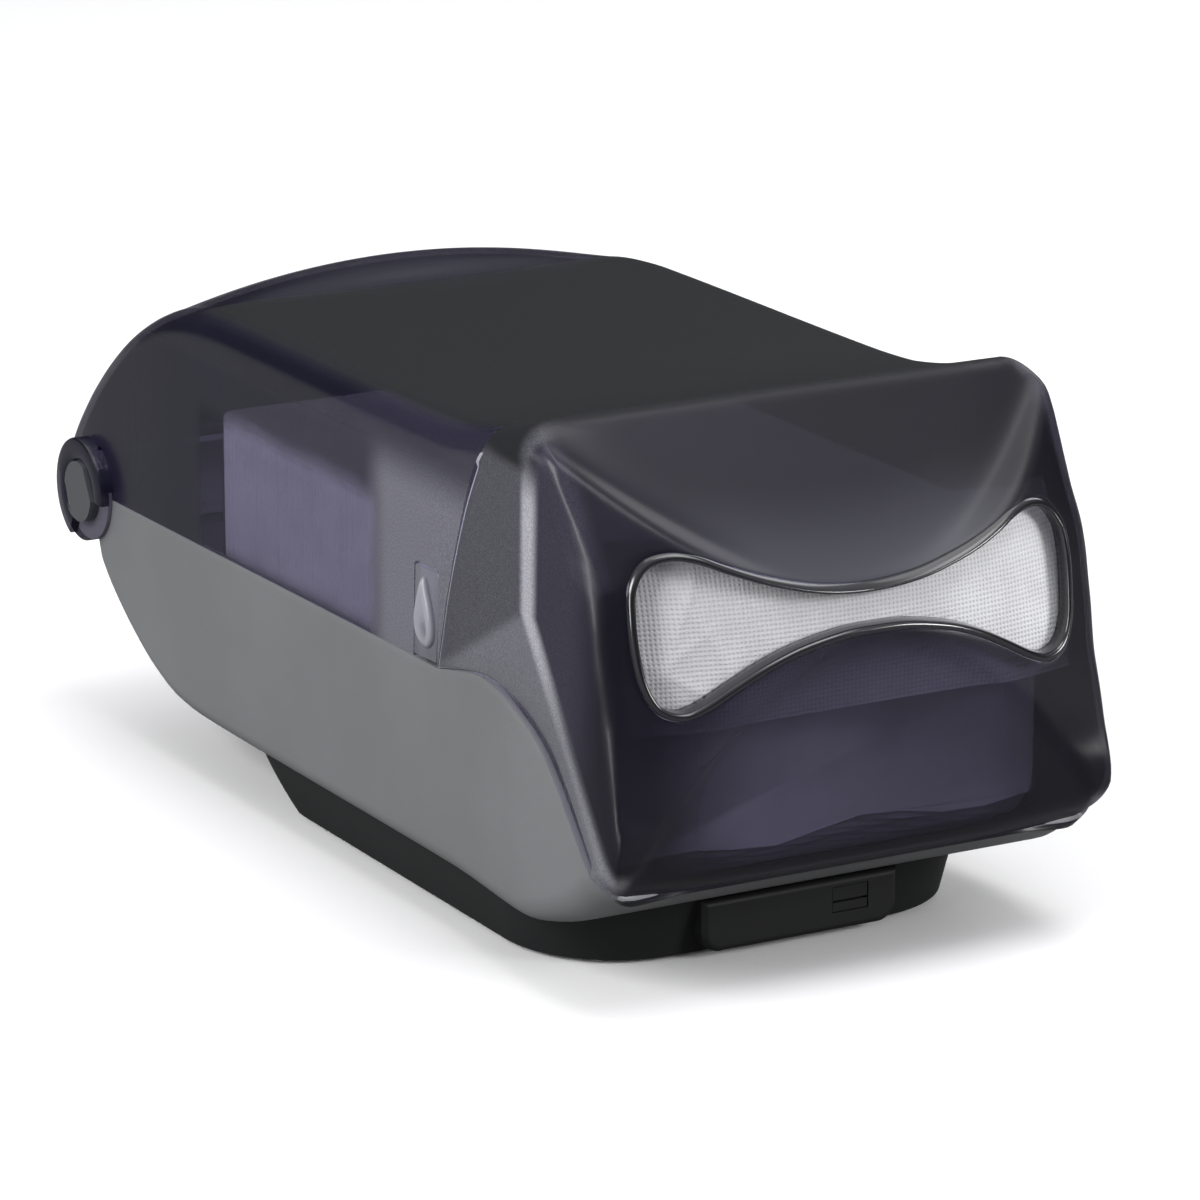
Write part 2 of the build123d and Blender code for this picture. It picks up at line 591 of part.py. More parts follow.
def anchor_screw(side):
    shank = rod_x(1.3, side * 83.4, side * 89.1, ANCHOR_Y, DRUM_Z)
    return keep_largest(shank + rod_x(2.8, side * 82.9, side * 84.1, ANCHOR_Y, DRUM_Z))


# ---------------------------------------------------------------- napkins
def napkin_stack():
    """Stack on edge, trimmed at its lower front edge and beside the spring anchors."""
    stack = box(-NAPKIN_HALF_X, NAPKIN_HALF_X, STACK_FRONT, STACK_REAR,
                NAPKIN_Z0, NAPKIN_Z0 + NAPKIN_H)
    chin = [(-130.0, 20.0), (-130.0, 45.0), (-100.0, 26.0), (-100.0, 20.0)]
    stack = keep_largest(stack - prism_x(chin, -100, 100))
    for side in (-1, 1):
        stack = stack - box(side * 79.0, side * 90.0, -135.0, -98.0, 36.0, 56.0)
    return keep_largest(stack)


def lead_napkin(outer):
    """Sheet that fills the opening just behind the faceplate."""
    sheet = (outer - face_cut(4.9)) & face_cut(8.4)
    return keep_largest(sheet & box(-81.0, 81.0, -175.0, -127.0, 92.0, 152.0))


# ---------------------------------------------------------------- build and write
cover_zone, face_zone, body_zone = seam_zones()
outer_form = envelope(0)
shell = (outer_form - face_cut(0.0)) - (envelope(WALL) - face_cut(2.9))

save("lower_body", lower_body(shell, body_zone, outer_form))
save("base_pedestal", base_pedestal())
save_group("rubber_feet", [rubber_foot(x, y) for x, y in FEET])
save_group("base_screws", [base_screw(x, y) for x, y in BASE_SCREWS])
save("base_catch", base_catch())
save("base_catch_spring", base_catch_spring())
save("cover_shell", cover_shell(shell, cover_zone))
save("faceplate", faceplate(shell, face_zone))
save("opening_rim", opening_rim())
save("pusher_plate", pusher_plate())

PAIRED = {
    "hinge_pin": hinge_pin,
    "latch": latch,
    "guide_rail": guide_rail,
    "drum_bracket": drum_bracket,
    "spring_drum": spring_drum,
    "pusher_spring": pusher_spring,
    "spring_anchor": spring_anchor,
}
for part_name, make in PAIRED.items():
    for side_name, side in SIDES:
        save(f"{part_name}_{side_name}", make(side))

save_group("rail_screws", [rail_screw(side, y) for side in (-1, 1) for y in RAIL_SCREW_Y])
save_group("bracket_screws", [bracket_screw(side, z) for side in (-1, 1) for z in BRACKET_SCREW_Z])
save_group("drum_pins", [drum_pin(side) for side in (-1, 1)])
save_group("anchor_screws", [anchor_screw(side) for side in (-1, 1)])
save("napkin_stack", napkin_stack())
save("lead_napkin", lead_napkin(outer_form))
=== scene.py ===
"""Napkin dispenser: smoked hinged cover and faceplate on a grey body, with spring-fed napkins.

+Z is up. The front, with the napkin opening, faces -Y and the hinge runs across the back (+Y).
X runs from left (-) to right (+); the shells are symmetrical about x = 0.
Shapes are laid out in mm, then moved SHIFT metres along Y into the frame. Shaders, lights and
camera are in metres; shader places are in the layout, before the shift.
"""
import json
import math
import bmesh
import bpy
import numpy as np
from mathutils import Matrix, Vector

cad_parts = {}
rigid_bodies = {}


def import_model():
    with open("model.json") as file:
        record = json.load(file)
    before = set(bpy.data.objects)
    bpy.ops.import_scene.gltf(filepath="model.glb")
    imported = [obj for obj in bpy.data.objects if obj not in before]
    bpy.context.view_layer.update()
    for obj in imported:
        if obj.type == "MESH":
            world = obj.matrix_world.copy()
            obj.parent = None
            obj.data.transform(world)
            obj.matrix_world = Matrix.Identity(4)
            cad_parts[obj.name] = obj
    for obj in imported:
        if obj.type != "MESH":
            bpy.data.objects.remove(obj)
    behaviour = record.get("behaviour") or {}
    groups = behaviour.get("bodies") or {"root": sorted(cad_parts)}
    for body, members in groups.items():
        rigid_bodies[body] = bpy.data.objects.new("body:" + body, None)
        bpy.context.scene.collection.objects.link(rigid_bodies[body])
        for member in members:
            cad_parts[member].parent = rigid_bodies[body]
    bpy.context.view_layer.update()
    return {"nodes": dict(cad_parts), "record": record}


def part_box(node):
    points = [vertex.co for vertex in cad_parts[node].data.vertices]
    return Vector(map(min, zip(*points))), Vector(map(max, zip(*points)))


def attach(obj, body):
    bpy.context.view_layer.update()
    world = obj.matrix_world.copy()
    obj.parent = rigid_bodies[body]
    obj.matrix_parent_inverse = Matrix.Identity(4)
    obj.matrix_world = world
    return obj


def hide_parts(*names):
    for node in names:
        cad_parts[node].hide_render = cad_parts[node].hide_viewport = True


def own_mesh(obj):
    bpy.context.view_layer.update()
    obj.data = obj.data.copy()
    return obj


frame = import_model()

MM = 0.001
scene = bpy.context.scene
SIDES = ((-1, "left"), (1, "right"))

# ---------------------------------------------------------------- form of the shells (mm)
HINGE_Y, HINGE_Z = 229.0, 84.8
REAR_Y = 253.4
SEAM_Y = -38.0            # where the faceplate, cover and body seams meet
SEAM_GAP = 0.15           # set-back of each shell from a seam
pin_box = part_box("hinge_pin_left")
SHIFT = (pin_box[0].y + pin_box[1].y) / 2 - HINGE_Y * MM

# y, top z, crown rise, floor z, half width, top corner radius, floor corner radius
STATIONS = [
    (-172.0, 185.0, 0.3, 43.0, 92.5, 14.0, 14.0),
    (-150.0, 185.0, 0.3, 40.0, 92.7, 13.8, 14.0),
    (-128.0, 185.0, 0.3, 28.6, 93.8, 12.5, 12.0),
    (-112.0, 184.8, 0.3, 23.4, 94.5, 11.4, 10.0),
    (-100.0, 183.4, 0.3, 21.2, 94.6, 11.0, 8.5),
    (-84.0, 179.0, 0.3, 20.8, 93.2, 11.0, 7.5),
    (-66.0, 174.4, 0.3, 20.8, 91.5, 11.0, 7.0),
    (-44.0, 171.5, 0.3, 20.8, 90.2, 11.0, 7.0),
    (-20.0, 170.7, 0.3, 20.8, 90.0, 11.0, 7.0),
    (118.0, 169.8, 0.3, 20.8, 90.0, 10.0, 6.5),
    (134.0, 169.0, 1.6, 20.9, 90.0, 10.0, 6.5),
    (146.0, 167.8, 7.0, 21.1, 90.0, 10.0, 6.5),
    (162.0, 164.6, 10.6, 22.7, 90.0, 10.0, 6.5),
    (180.0, 158.4, 10.8, 28.2, 90.0, 10.5, 6.8),
    (198.0, 149.6, 9.2, 37.4, 90.0, 11.0, 7.2),
    (214.0, 138.6, 8.4, 48.4, 90.0, 11.0, 7.6),
    (227.0, 127.2, 7.6, 60.2, 89.9, 10.5, 8.0),
    (237.0, 116.8, 6.6, 67.0, 89.6, 9.8, 8.0),
    (244.0, 108.2, 5.2, 71.6, 89.2, 8.6, 7.6),
    (248.6, 101.0, 3.8, 75.2, 88.7, 7.0, 6.4),
    (251.4, 94.6, 2.2, 78.4, 88.0, 5.0, 4.8),
    (252.8, 89.6, 1.0, 80.6, 87.4, 3.2, 3.0),
    (253.4, 85.8, 0.4, 82.0, 86.8, 1.3, 1.3),
]
# (y, z) seam between faceplate and cover, upwards
UPPER_SEAM = [
    (-38.0, 88.0), (-41.3, 100.0), (-44.7, 112.5), (-50.4, 128.8), (-58.0, 147.0),
    (-66.0, 161.5), (-72.4, 170.6), (-74.0, 176.0), (-75.0, 205.0),
]
# (y, z) seam between faceplate and body, forwards and down
LOWER_SEAM = [
    (-38.0, 88.0), (-55.0, 91.6), (-70.2, 94.0), (-86.0, 93.0), (-100.0, 89.5), (-113.0, 83.0),
    (-122.0, 74.5), (-131.0, 63.5), (-141.6, 50.0), (-148.0, 43.0), (-150.0, 38.0),
]
# (z, y) of the front's scooped face, down its middle and near its flanks
FRONT_CENTRE = [
    (36, -140.0), (43, -153.5), (50, -159.5), (60, -162.0), (84, -164.0), (100, -163.0),
    (122, -160.5), (146, -156.0), (165, -147.0), (184, -133.0), (196, -124.0),
]
FRONT_FLANK = [
    (36, -141.0), (43, -149.5), (48.5, -155.0), (55, -158.2), (62, -159.0), (71, -157.0),
    (81, -155.4), (91, -153.3), (100, -151.2), (110, -149.4), (119, -147.5), (129, -145.6),
    (138, -143.0), (146, -139.0), (155, -134.0), (164, -128.5), (172, -123.5), (177, -120.0),
    (184, -110.0), (196, -95.0),
]
# (x, z) right half of the napkin opening, from top middle round to bottom middle
OPENING = [
    (0.0, 131.0), (10.0, 131.5), (20.0, 132.9), (30.0, 135.3), (40.0, 138.3), (50.0, 142.0),
    (58.0, 145.2), (65.5, 146.4), (72.5, 144.4), (77.0, 138.5), (78.2, 130.0), (78.0, 120.0),
    (76.6, 110.0), (73.0, 103.2), (67.0, 100.8), (60.5, 102.6), (50.0, 108.2), (40.0, 113.2),
    (30.0, 117.0), (20.0, 119.4), (10.0, 120.9), (0.0, 121.2),
]


def hermite(table):
    """Monotone cubic through (place, value) pairs, carried on straight past both ends."""
    place = np.array([row[0] for row in table], float)
    value = np.array([row[1] for row in table], float)
    rise = np.diff(value) / np.diff(place)
    slope = np.zeros(len(place))
    slope[0], slope[-1] = rise[0], rise[-1]
    for i in range(1, len(place) - 1):
        before, after = rise[i - 1], rise[i]
        slope[i] = 0.0 if before * after <= 0 else 2 * before * after / (before + after)

    def curve(at):
        at = np.asarray(at, float)
        i = np.clip(np.searchsorted(place, at) - 1, 0, len(place) - 2)
        span = place[i + 1] - place[i]
        s = np.clip((at - place[i]) / span, 0, 1)
        out = ((2 * s**3 - 3 * s**2 + 1) * value[i] + (s**3 - 2 * s**2 + s) * span * slope[i]
               + (-2 * s**3 + 3 * s**2) * value[i + 1] + (s**3 - s**2) * span * slope[i + 1])
        out = np.where(at < place[0], value[0] + rise[0] * (at - place[0]), out)
        return np.where(at > place[-1], value[-1] + rise[-1] * (at - place[-1]), out)
    return curve


top_z, crown_rise, floor_z, half_width, top_radius, floor_radius = [
    hermite([(row[0], row[k]) for row in STATIONS]) for k in range(1, 7)]
front_centre, front_flank = hermite(FRONT_CENTRE), hermite(FRONT_FLANK)
LOWER_FRONT = sorted((z, y) for y, z in LOWER_SEAM if y <= -86.0)


def upper_seam_y(z):
    return float(np.interp(z, [p[1] for p in UPPER_SEAM], [p[0] for p in UPPER_SEAM]))


def lower_seam_y(z):
    return float(np.interp(z, [p[0] for p in LOWER_FRONT], [p[1] for p in LOWER_FRONT]))


def parting_z(y):
    """Height of the line between cover and body, falling gently to the rear."""
    return 88.0 - (np.asarray(y, float) - SEAM_Y) * 3.7 / 310.0


def soft_max(a, b, blend):
    h = np.clip(0.5 + 0.5 * (a - b) / blend, 0, 1)
    return b * (1 - h) + a * h + blend * h * (1 - h)


def soft_ramp(rise, softness):
    """Near zero below rise = 0 and near twice the rise above it."""
    return rise + np.sqrt(rise * rise + softness)


def face_y(x, z):
    """Outer surface of the front: a hollow band between an arched upper and a lower facet."""
    side_x = np.abs(np.asarray(x, float))
    z = np.asarray(z, float)
    centre, flank = front_centre(z), front_flank(z)
    band = centre + (flank - centre) * (np.minimum(side_x, 100.0) / 81.0) ** 2.3
    upper_arch = 133.0 + 50.0 * (side_x / 94.0) ** 1.75
    upper = -104.0 - (184.5 - z) - 1.5 * soft_ramp(upper_arch - z, 9.0)
    lower_arch = 112.0 - 62.0 * (side_x / 85.0) ** 2
    lower = -158.0 - 0.75 * soft_ramp(z - lower_arch, 12.0)
    return soft_max(soft_max(band, upper, 17.0), lower, 8.0)


# ---------------------------------------------------------------- mesh helpers
def add_mesh(name, verts, faces, material, body, slot=None, merge=0.0, outward=None):
    """Adds a mesh laid out in mm. Points within merge are joined. Faces are turned away from
    the point outward where one is given."""
    bm = bmesh.new()
    points = [bm.verts.new(Vector((v[0] * MM, v[1] * MM + SHIFT, v[2] * MM))) for v in verts]
    for face in faces:
        bm.faces.new([points[i] for i in face])
    if merge:
        bmesh.ops.remove_doubles(bm, verts=bm.verts, dist=merge * MM)
        bmesh.ops.dissolve_degenerate(bm, dist=merge * 0.5 * MM, edges=bm.edges)
    loose = [v for v in bm.verts if not v.link_faces]
    bmesh.ops.delete(bm, geom=loose, context="VERTS")
    if outward is not None:
        inside = Vector(outward) * MM + Vector((0, SHIFT, 0))
        facing = 0.0
        for face in bm.faces:
            facing += face.normal.dot(face.calc_center_median() - inside) * face.calc_area()
        if facing < 0:
            bmesh.ops.reverse_faces(bm, faces=bm.faces)
    else:
        bmesh.ops.recalc_face_normals(bm, faces=bm.faces)
    for face in bm.faces:
        face.smooth = True
    mesh = bpy.data.meshes.new(name)
    bm.to_mesh(mesh)
    bm.free()
    obj = bpy.data.objects.new(name, mesh)
    scene.collection.objects.link(obj)
    mesh.materials.append(material)
    obj["want_body"] = body
    return obj


def grid_faces(rows, columns, wrap=False):
    faces = []
    for i in range(rows - 1):
        for j in range(columns if wrap else columns - 1):
            k = (j + 1) % columns
            faces.append((i * columns + j, i * columns + k,
                          (i + 1) * columns + k, (i + 1) * columns + j))
    return faces


def add_grid(name, grid, *owner, wrap=False, **options):
    """Adds a surface over rows of points; wrap closes each row on itself."""
    grid = np.asarray(grid)
    faces = grid_faces(grid.shape[0], grid.shape[1], wrap)
    return add_mesh(name, grid.reshape(-1, 3), faces, *owner, **options)


def finish_mesh(obj, wall=None, edge=None, cut=None, angle=40, inner=0):
    """Gives a sheet its wall, cuts it, rounds its edges, applies all that and marks creases.

    Lengths are in mm, angle is the sharpest smooth edge in degrees, and inner is the
    material offset of the wall's far skin.
    """
    if wall:
        solid = obj.modifiers.new("wall", "SOLIDIFY")
        solid.thickness = wall * MM
        solid.offset = -1.0
        solid.use_even_offset = False
        solid.use_rim = True
        solid.material_offset = inner
    if cut is not None:
        window = obj.modifiers.new("window", "BOOLEAN")
        window.operation = "DIFFERENCE"
        window.object = cut
        window.solver = "EXACT"
    if edge:
        bevel = obj.modifiers.new("edge", "BEVEL")
        bevel.width = edge * MM
        bevel.segments = 2
        bevel.limit_method = "ANGLE"
        bevel.angle_limit = math.radians(angle)
        bevel.use_clamp_overlap = True
    depsgraph = bpy.context.evaluated_depsgraph_get()
    mesh = bpy.data.meshes.new_from_object(obj.evaluated_get(depsgraph), depsgraph=depsgraph)
    obj.modifiers.clear()
    obj.data = mesh
    bm = bmesh.new()
    bm.from_mesh(mesh)
    for face in bm.faces:
        face.smooth = True
    for side in bm.edges:
        if len(side.link_faces) == 2 and side.calc_face_angle(0) > math.radians(angle):
            side.smooth = False
    bm.to_mesh(mesh)
    bm.free()


SHELL = dict(wall=2.3, edge=0.35, angle=50)      # finish shared by the moulded shells


def resample(points, count=0, at=None):
    """Points along a polyline: count even ones, or at the given fractions of its length."""
    points = np.asarray(points, float)
    along = np.r_[0, np.cumsum(np.linalg.norm(np.diff(points, axis=0), axis=1))]
    at = np.linspace(0, 1, count) if at is None else np.asarray(at)
    return np.stack([np.interp(at * along[-1], along, axis) for axis in points.T], 1)


def path_length(points):
    return np.sum(np.linalg.norm(np.diff(points, axis=0), axis=1))


def catmull(points, per, closed=False):
    """Smooth curve through the points, with per steps between neighbours."""
    p = np.asarray(points, float)
    n = len(p)
    out = []
    for i in range(n if closed else n - 1):
        if closed:
            a, b, c, d = p[(i - 1) % n], p[i], p[(i + 1) % n], p[(i + 2) % n]
        else:
            a, b, c, d = p[max(i - 1, 0)], p[i], p[i + 1], p[min(i + 2, n - 1)]
        for k in range(per):
            t = k / per
            out.append(0.5 * ((2 * b) + (c - a) * t + (2 * a - 5 * b + 4 * c - d) * t * t
                              + (-a + 3 * b - 3 * c + d) * t**3))
    if not closed:
        out.append(p[-1])
    return np.array(out)


def settle(y, aim, steps, pull=0.5):
    """Moves y towards aim(y) again and again until the two agree."""
    for _ in range(steps):
        y = (1 - pull) * y + pull * aim(y)
    return y


def quarter(i, count):
    return math.pi / 2 * i / count


def round_hinge(radius, angle):
    """(y, z) at a radius and angle about the hinge axis; 0 points to +Y, 90 degrees to +Z."""
    return HINGE_Y + radius * math.cos(angle), HINGE_Z + radius * math.sin(angle)


# ---------------------------------------------------------------- shader helpers
def srgb(*values):
    """Linear colour from sRGB values of 0 to 255."""
    parts = [v / 255.0 for v in values]
    return tuple(c / 12.92 if c <= 0.04045 else ((c + 0.055) / 1.055) ** 2.4
                 for c in parts) + (1.0,)


def scaled(colour, factor):
    return tuple(min(1, c * factor) for c in colour[:3]) + (1,)


def add_node(tree, kind, inputs=None, **settings):
    """Adds a shader node; inputs maps socket names or indices to values or sockets to link."""
    node = tree.nodes.new("ShaderNode" + kind)
    for name, value in settings.items():
        setattr(node, name, value)
    for key, value in (inputs or {}).items():
        if isinstance(value, bpy.types.NodeSocket):
            tree.links.new(value, node.inputs[key])
        else:
            node.inputs[key].default_value = value
    return node


class Shader:
    """A material's node tree, with short calls that add a node and return its output."""

    def __init__(self, name):
        self.material = bpy.data.materials.new(name)
        self.material.use_nodes = True
        self.tree = self.material.node_tree
        self.tree.nodes.clear()
        self.surface = self.node("OutputMaterial").inputs["Surface"]
        coords = self.node("TexCoord").outputs["Object"]
        self.place = self.node("VectorMath", {0: coords, 1: (0.0, -SHIFT, 0.0)},
                               operation="ADD").outputs[0]

    def node(self, kind, inputs=None, **settings):
        return add_node(self.tree, kind, inputs, **settings)

    def noise(self, scale, detail=3.0, rough=0.55, stretch=None):
        place = self.place
        if stretch:
            place = self.node("Mapping", {"Vector": place, "Scale": stretch}).outputs[0]
        return self.node("TexNoise", {"Vector": place, "Scale": scale, "Detail": detail,
                                      "Roughness": rough}).outputs["Fac"]

    def math(self, operation, a, b=0.0, clamp=False):
        return self.node("Math", {0: a, 1: b, 2: 0.0},
                         operation=operation, use_clamp=clamp).outputs[0]

    def add(self, a, b):
        return self.math("ADD", a, b)

    def sub(self, a, b):
        return self.math("SUBTRACT", a, b)

    def invert(self, value):
        return self.sub(1.0, value)

    def mul(self, product, *factors):
        for factor in factors:
            product = self.math("MULTIPLY", product, factor)
        return product

    def step(self, value, start, end, low=0.0, high=1.0):
        return self.node("MapRange", {"Value": value, "From Min": start, "From Max": end,
                                      "To Min": low, "To Max": high},
                         interpolation_type="SMOOTHSTEP").outputs[0]

    def mix(self, factor, a, b):
        return self.node("Mix", {0: factor, 6: a, 7: b}, data_type="RGBA").outputs[2]

    def bump(self, height, strength, distance, normal=None):
        inputs = {"Height": height, "Strength": strength, "Distance": distance}
        if normal is not None:
            inputs["Normal"] = normal
        return self.node("Bump", inputs).outputs[0]

    def xyz(self):
        return self.node("SeparateXYZ", {"Vector": self.place}).outputs[:3]

    def camera_ray(self):
        return self.node("LightPath").outputs["Is Camera Ray"]

    def finish(self, node):
        self.tree.links.new(node.outputs[0], self.surface)
        return self.material


# ---------------------------------------------------------------- materials
def plastic(name, colour, rough, grain, grain_depth=0.25, vary=0.10, coat=0.0, spec=0.5,
            scuff=True):
    """Opaque moulding with fine grain, drifting tone and, with scuff, lengthwise rub marks."""
    mat = Shader(name)
    big = mat.noise(scale=14.0)
    fine = mat.noise(scale=grain, detail=2.0)
    base = mat.mix(mat.step(big, start=0.35, end=0.7),
                   scaled(colour, 1 - vary), scaled(colour, 1 + vary))
    pits = mat.mul(mat.step(fine, start=0.3, end=0.7), 0.18)
    base = mat.mix(pits, base, scaled(colour, 0.7))
    roughness = mat.add(mat.mul(big, 0.12), rough - 0.06)
    if scuff:
        marks = mat.noise(scale=90.0, detail=5.0, rough=0.7, stretch=(1, 0.25, 1))
        roughness = mat.add(roughness, mat.mul(mat.step(marks, start=0.55, end=0.75), 0.06))
    return mat.finish(mat.node("BsdfPrincipled", {
        "Base Color": base, "Roughness": roughness, "Coat Weight": coat,
        "Coat Roughness": 0.12, "Specular IOR Level": spec,
        "Normal": mat.bump(fine, strength=grain_depth, distance=0.00012)}))


# Zones of the smoked parts return the matt mask, the satin mask and tint layers of
# (mask, strength, dark sRGB, light sRGB).
def cover_zones(mat, side_x, y, z):
    """Matt top panel ending in an arc at the rear dome, satin lower sides, and a painted
    highlight: a paler band on the front of the sides beside the faceplate seam.
    """
    rear_arc = mat.add(mat.mul(side_x, side_x, 1.6), 0.1335)
    matt = mat.mul(mat.step(z, start=0.1655, end=0.1685),
                   mat.step(side_x, start=0.0865, end=0.0825),
                   mat.step(mat.sub(y, rear_arc), start=0.0015, end=-0.0015))
    satin = mat.mul(mat.step(z, start=0.156, end=0.150), mat.step(y, start=0.200, end=0.150))
    # painted highlight: the front of each side, beside the seam, is painted paler
    front = mat.mul(mat.step(y, start=0.014, end=-0.004), mat.step(z, start=0.160, end=0.140))
    return matt, satin, [(front, 0.85, (92, 92, 100), (124, 124, 132))]


def face_zones(mat, side_x, y, z):
    """Matt rear of the top, satin cheeks, a painted highlight along the ridges that slant below
    the kink, and painted light on the flank ahead of each ridge and on the lower facet.
    """
    matt = mat.mul(mat.step(z, start=0.1665, end=0.172), mat.step(y, start=-0.108, end=-0.098))
    below_kink = mat.math("MAXIMUM", mat.sub(0.124, z), 0.0)
    behind = mat.sub(y, mat.sub(-0.1068, mat.mul(below_kink, 0.62)))
    side = mat.step(side_x, start=0.083, end=0.089)
    satin = mat.mul(side, mat.step(behind, start=-0.004, end=0.001))
    # painted highlight: a pale band along each ridge, weaker below the kink
    painted_ridge_highlight = mat.mul(mat.step(behind, start=-0.0065, end=-0.0015),
                    mat.step(behind, start=0.0065, end=0.0015), side,
                    mat.step(z, start=0.174, end=0.158),
                    mat.step(z, start=0.085, end=0.126, low=0.22, high=1.0))
    # painted light: the facet below this slanting line is painted lighter
    slant = mat.sub(z, mat.add(0.0675, mat.mul(y, -0.54)))
    low_facet_painted_light = mat.mul(satin, mat.step(slant, start=0.003, end=-0.003))
    # painted light: a lighter purple band on the flank ahead of each ridge, where it turns towards
    # the left lamps
    flank = mat.mul(side, mat.step(behind, start=0.000, end=-0.006),
                    mat.step(y, start=-0.146, end=-0.128))
    return matt, satin, [(satin, 0.85, (58, 58, 64), (88, 88, 95)),
                         (flank, 0.75, (38, 36, 48), (56, 54, 66)),
                         (low_facet_painted_light, 0.7, (98, 98, 105), (126, 126, 133)),
                         (painted_ridge_highlight, 0.75, (158, 157, 164), (196, 195, 203))]


def painted_scoop_light(mat, side_x, z):
    """Mask of painted light: a lighter arch over the opening, where the scoop's lower part faces
    up to the light.
    """
    above = mat.sub(z, mat.add(0.131, mat.mul(side_x, side_x, 2.7)))
    return mat.mul(mat.step(above, start=0.030, end=0.0),
                   mat.step(above, start=-0.004, end=0.002),
                   mat.step(side_x, start=0.070, end=0.030))


def cover_clearness(mat, y, z):
    """Clearest beside the napkins, with a wavering border."""
    wave = mat.mul(mat.sub(mat.noise(scale=30.0, detail=2.0), 0.5), 0.006)
    wavy_z = mat.add(z, wave)
    wavy_y = mat.add(y, wave)
    along = mat.mul(mat.step(wavy_y, start=0.002, end=0.012),
                    mat.step(wavy_y, start=0.142, end=0.134))
    return mat.add(mat.mul(mat.step(wavy_z, start=0.141, end=0.131), along, 0.88), 0.12)


def face_clearness(mat, side_x, z):
    """Clearest in the lower middle of the front."""
    low = mat.mul(mat.step(z, start=0.040, end=0.052), mat.step(z, start=0.128, end=0.100),
                  mat.step(side_x, start=0.080, end=0.040))
    return mat.add(mat.mul(low, 0.9), 0.10)


def smoked(name, deep, part, clear=(0.86, 0.84, 0.93, 1), coat=0.15, rough=0.22,
           see_through=0.1, lets_light=0.8):
    """Translucent moulding: a glossy skin with a hazy dark tint.

    deep is the tint and clear the filter colour; see_through is the share the camera sees
    through, lets_light the share passed to all other rays.
    """
    mat = Shader(name)
    x, y, z = mat.xyz()
    side_x = mat.math("ABSOLUTE", x)
    fine = mat.noise(scale=1900.0, rough=0.6)
    speck = mat.noise(scale=900.0, detail=2.0, rough=0.7)
    big = mat.noise(scale=11.0)
    grain = mat.step(fine, start=0.35, end=0.68)
    if part == "cover":
        matt, satin, layers = cover_zones(mat, side_x, y, z)
    elif part == "face":
        matt, satin, layers = face_zones(mat, side_x, y, z)
    else:
        matt = satin = mat.mul(big, 0.0)
        layers = []
    haze = mat.math("MAXIMUM", matt, mat.mul(satin, 0.55))
    roughness = mat.add(mat.mul(haze, 0.30), rough)
    roughness = mat.add(roughness, mat.mul(big, 0.07))
    bump = mat.bump(fine, strength=mat.add(mat.mul(haze, 0.5), 0.05), distance=0.00016)
    bump = mat.bump(speck, strength=mat.add(mat.mul(haze, 0.25), 0.02), distance=0.0002,
                    normal=bump)

    tint = mat.mix(mat.step(big, start=0.3, end=0.7), scaled(deep, 0.85), scaled(deep, 1.15))
    tint = mat.mix(mat.mul(grain, mat.mul(haze, 0.35)), tint, srgb(74, 74, 82))
    for mask, strength, dark, light in layers:
        tint = mat.mix(mat.mul(mask, strength), tint, mat.mix(grain, srgb(*dark), srgb(*light)))
    tint = mat.mix(matt, tint, mat.mix(grain, srgb(19, 20, 23), srgb(28, 29, 33)))
    if part == "latch":
        # painted highlight: the raised button is paler than its plate
        tint = mat.mix(mat.step(side_x, start=0.0902, end=0.0918), tint, srgb(150, 150, 158))
    if part == "face":
        # painted light on the arch over the opening
        tint = mat.mix(mat.mul(painted_scoop_light(mat, side_x, z), 0.8), tint, srgb(66, 66, 74))

    if part == "inner":
        # solid to the camera, while light still comes in through it
        gate = mat.mul(lets_light, mat.invert(mat.camera_ray()))
    else:
        gate = mat.mul(mat.invert(matt), see_through)
        if part == "cover":
            gate = mat.mul(gate, cover_clearness(mat, y, z))
        if part == "face":
            gate = mat.mul(gate, face_clearness(mat, side_x, z))
        # less clear at glancing angles
        facing = mat.node("LayerWeight", {"Blend": 0.35}).outputs["Facing"]
        gate = mat.math("MULTIPLY", gate, mat.invert(mat.mul(facing, 0.7)), clamp=True)
    if part in ("cover", "face"):
        other = mat.mul(mat.invert(mat.camera_ray()), mat.invert(matt), lets_light)
        gate = mat.math("MAXIMUM", gate, other)
    # the far skin of each wall adds nothing, so light crosses every wall once
    gate = mat.math("MAXIMUM", gate, mat.node("NewGeometry").outputs["Backfacing"])
    skin = mat.node("BsdfPrincipled", {
        "Base Color": tint, "Roughness": roughness, "Normal": bump,
        "Specular IOR Level": 0.26, "Coat Weight": mat.sub(coat, mat.mul(haze, coat)),
        "Coat Roughness": 0.12})
    through = mat.node("BsdfTransparent", {"Color": clear})
    return mat.finish(mat.node("MixShader", {0: gate, 1: skin.outputs[0],
                                             2: through.outputs[0]}))


def metal(name, colour, rough, brush):
    """Brushed metal; brush stretches the marks along x, y, z."""
    mat = Shader(name)
    marks = mat.noise(scale=60.0, detail=4.0, rough=0.6, stretch=brush)
    return mat.finish(mat.node("BsdfPrincipled", {
        "Base Color": mat.mix(marks, scaled(colour, 0.8), colour), "Metallic": 1.0,
        "Roughness": mat.add(mat.mul(marks, 0.2), rough - 0.1),
        "Normal": mat.bump(marks, strength=0.2, distance=0.0001)}))


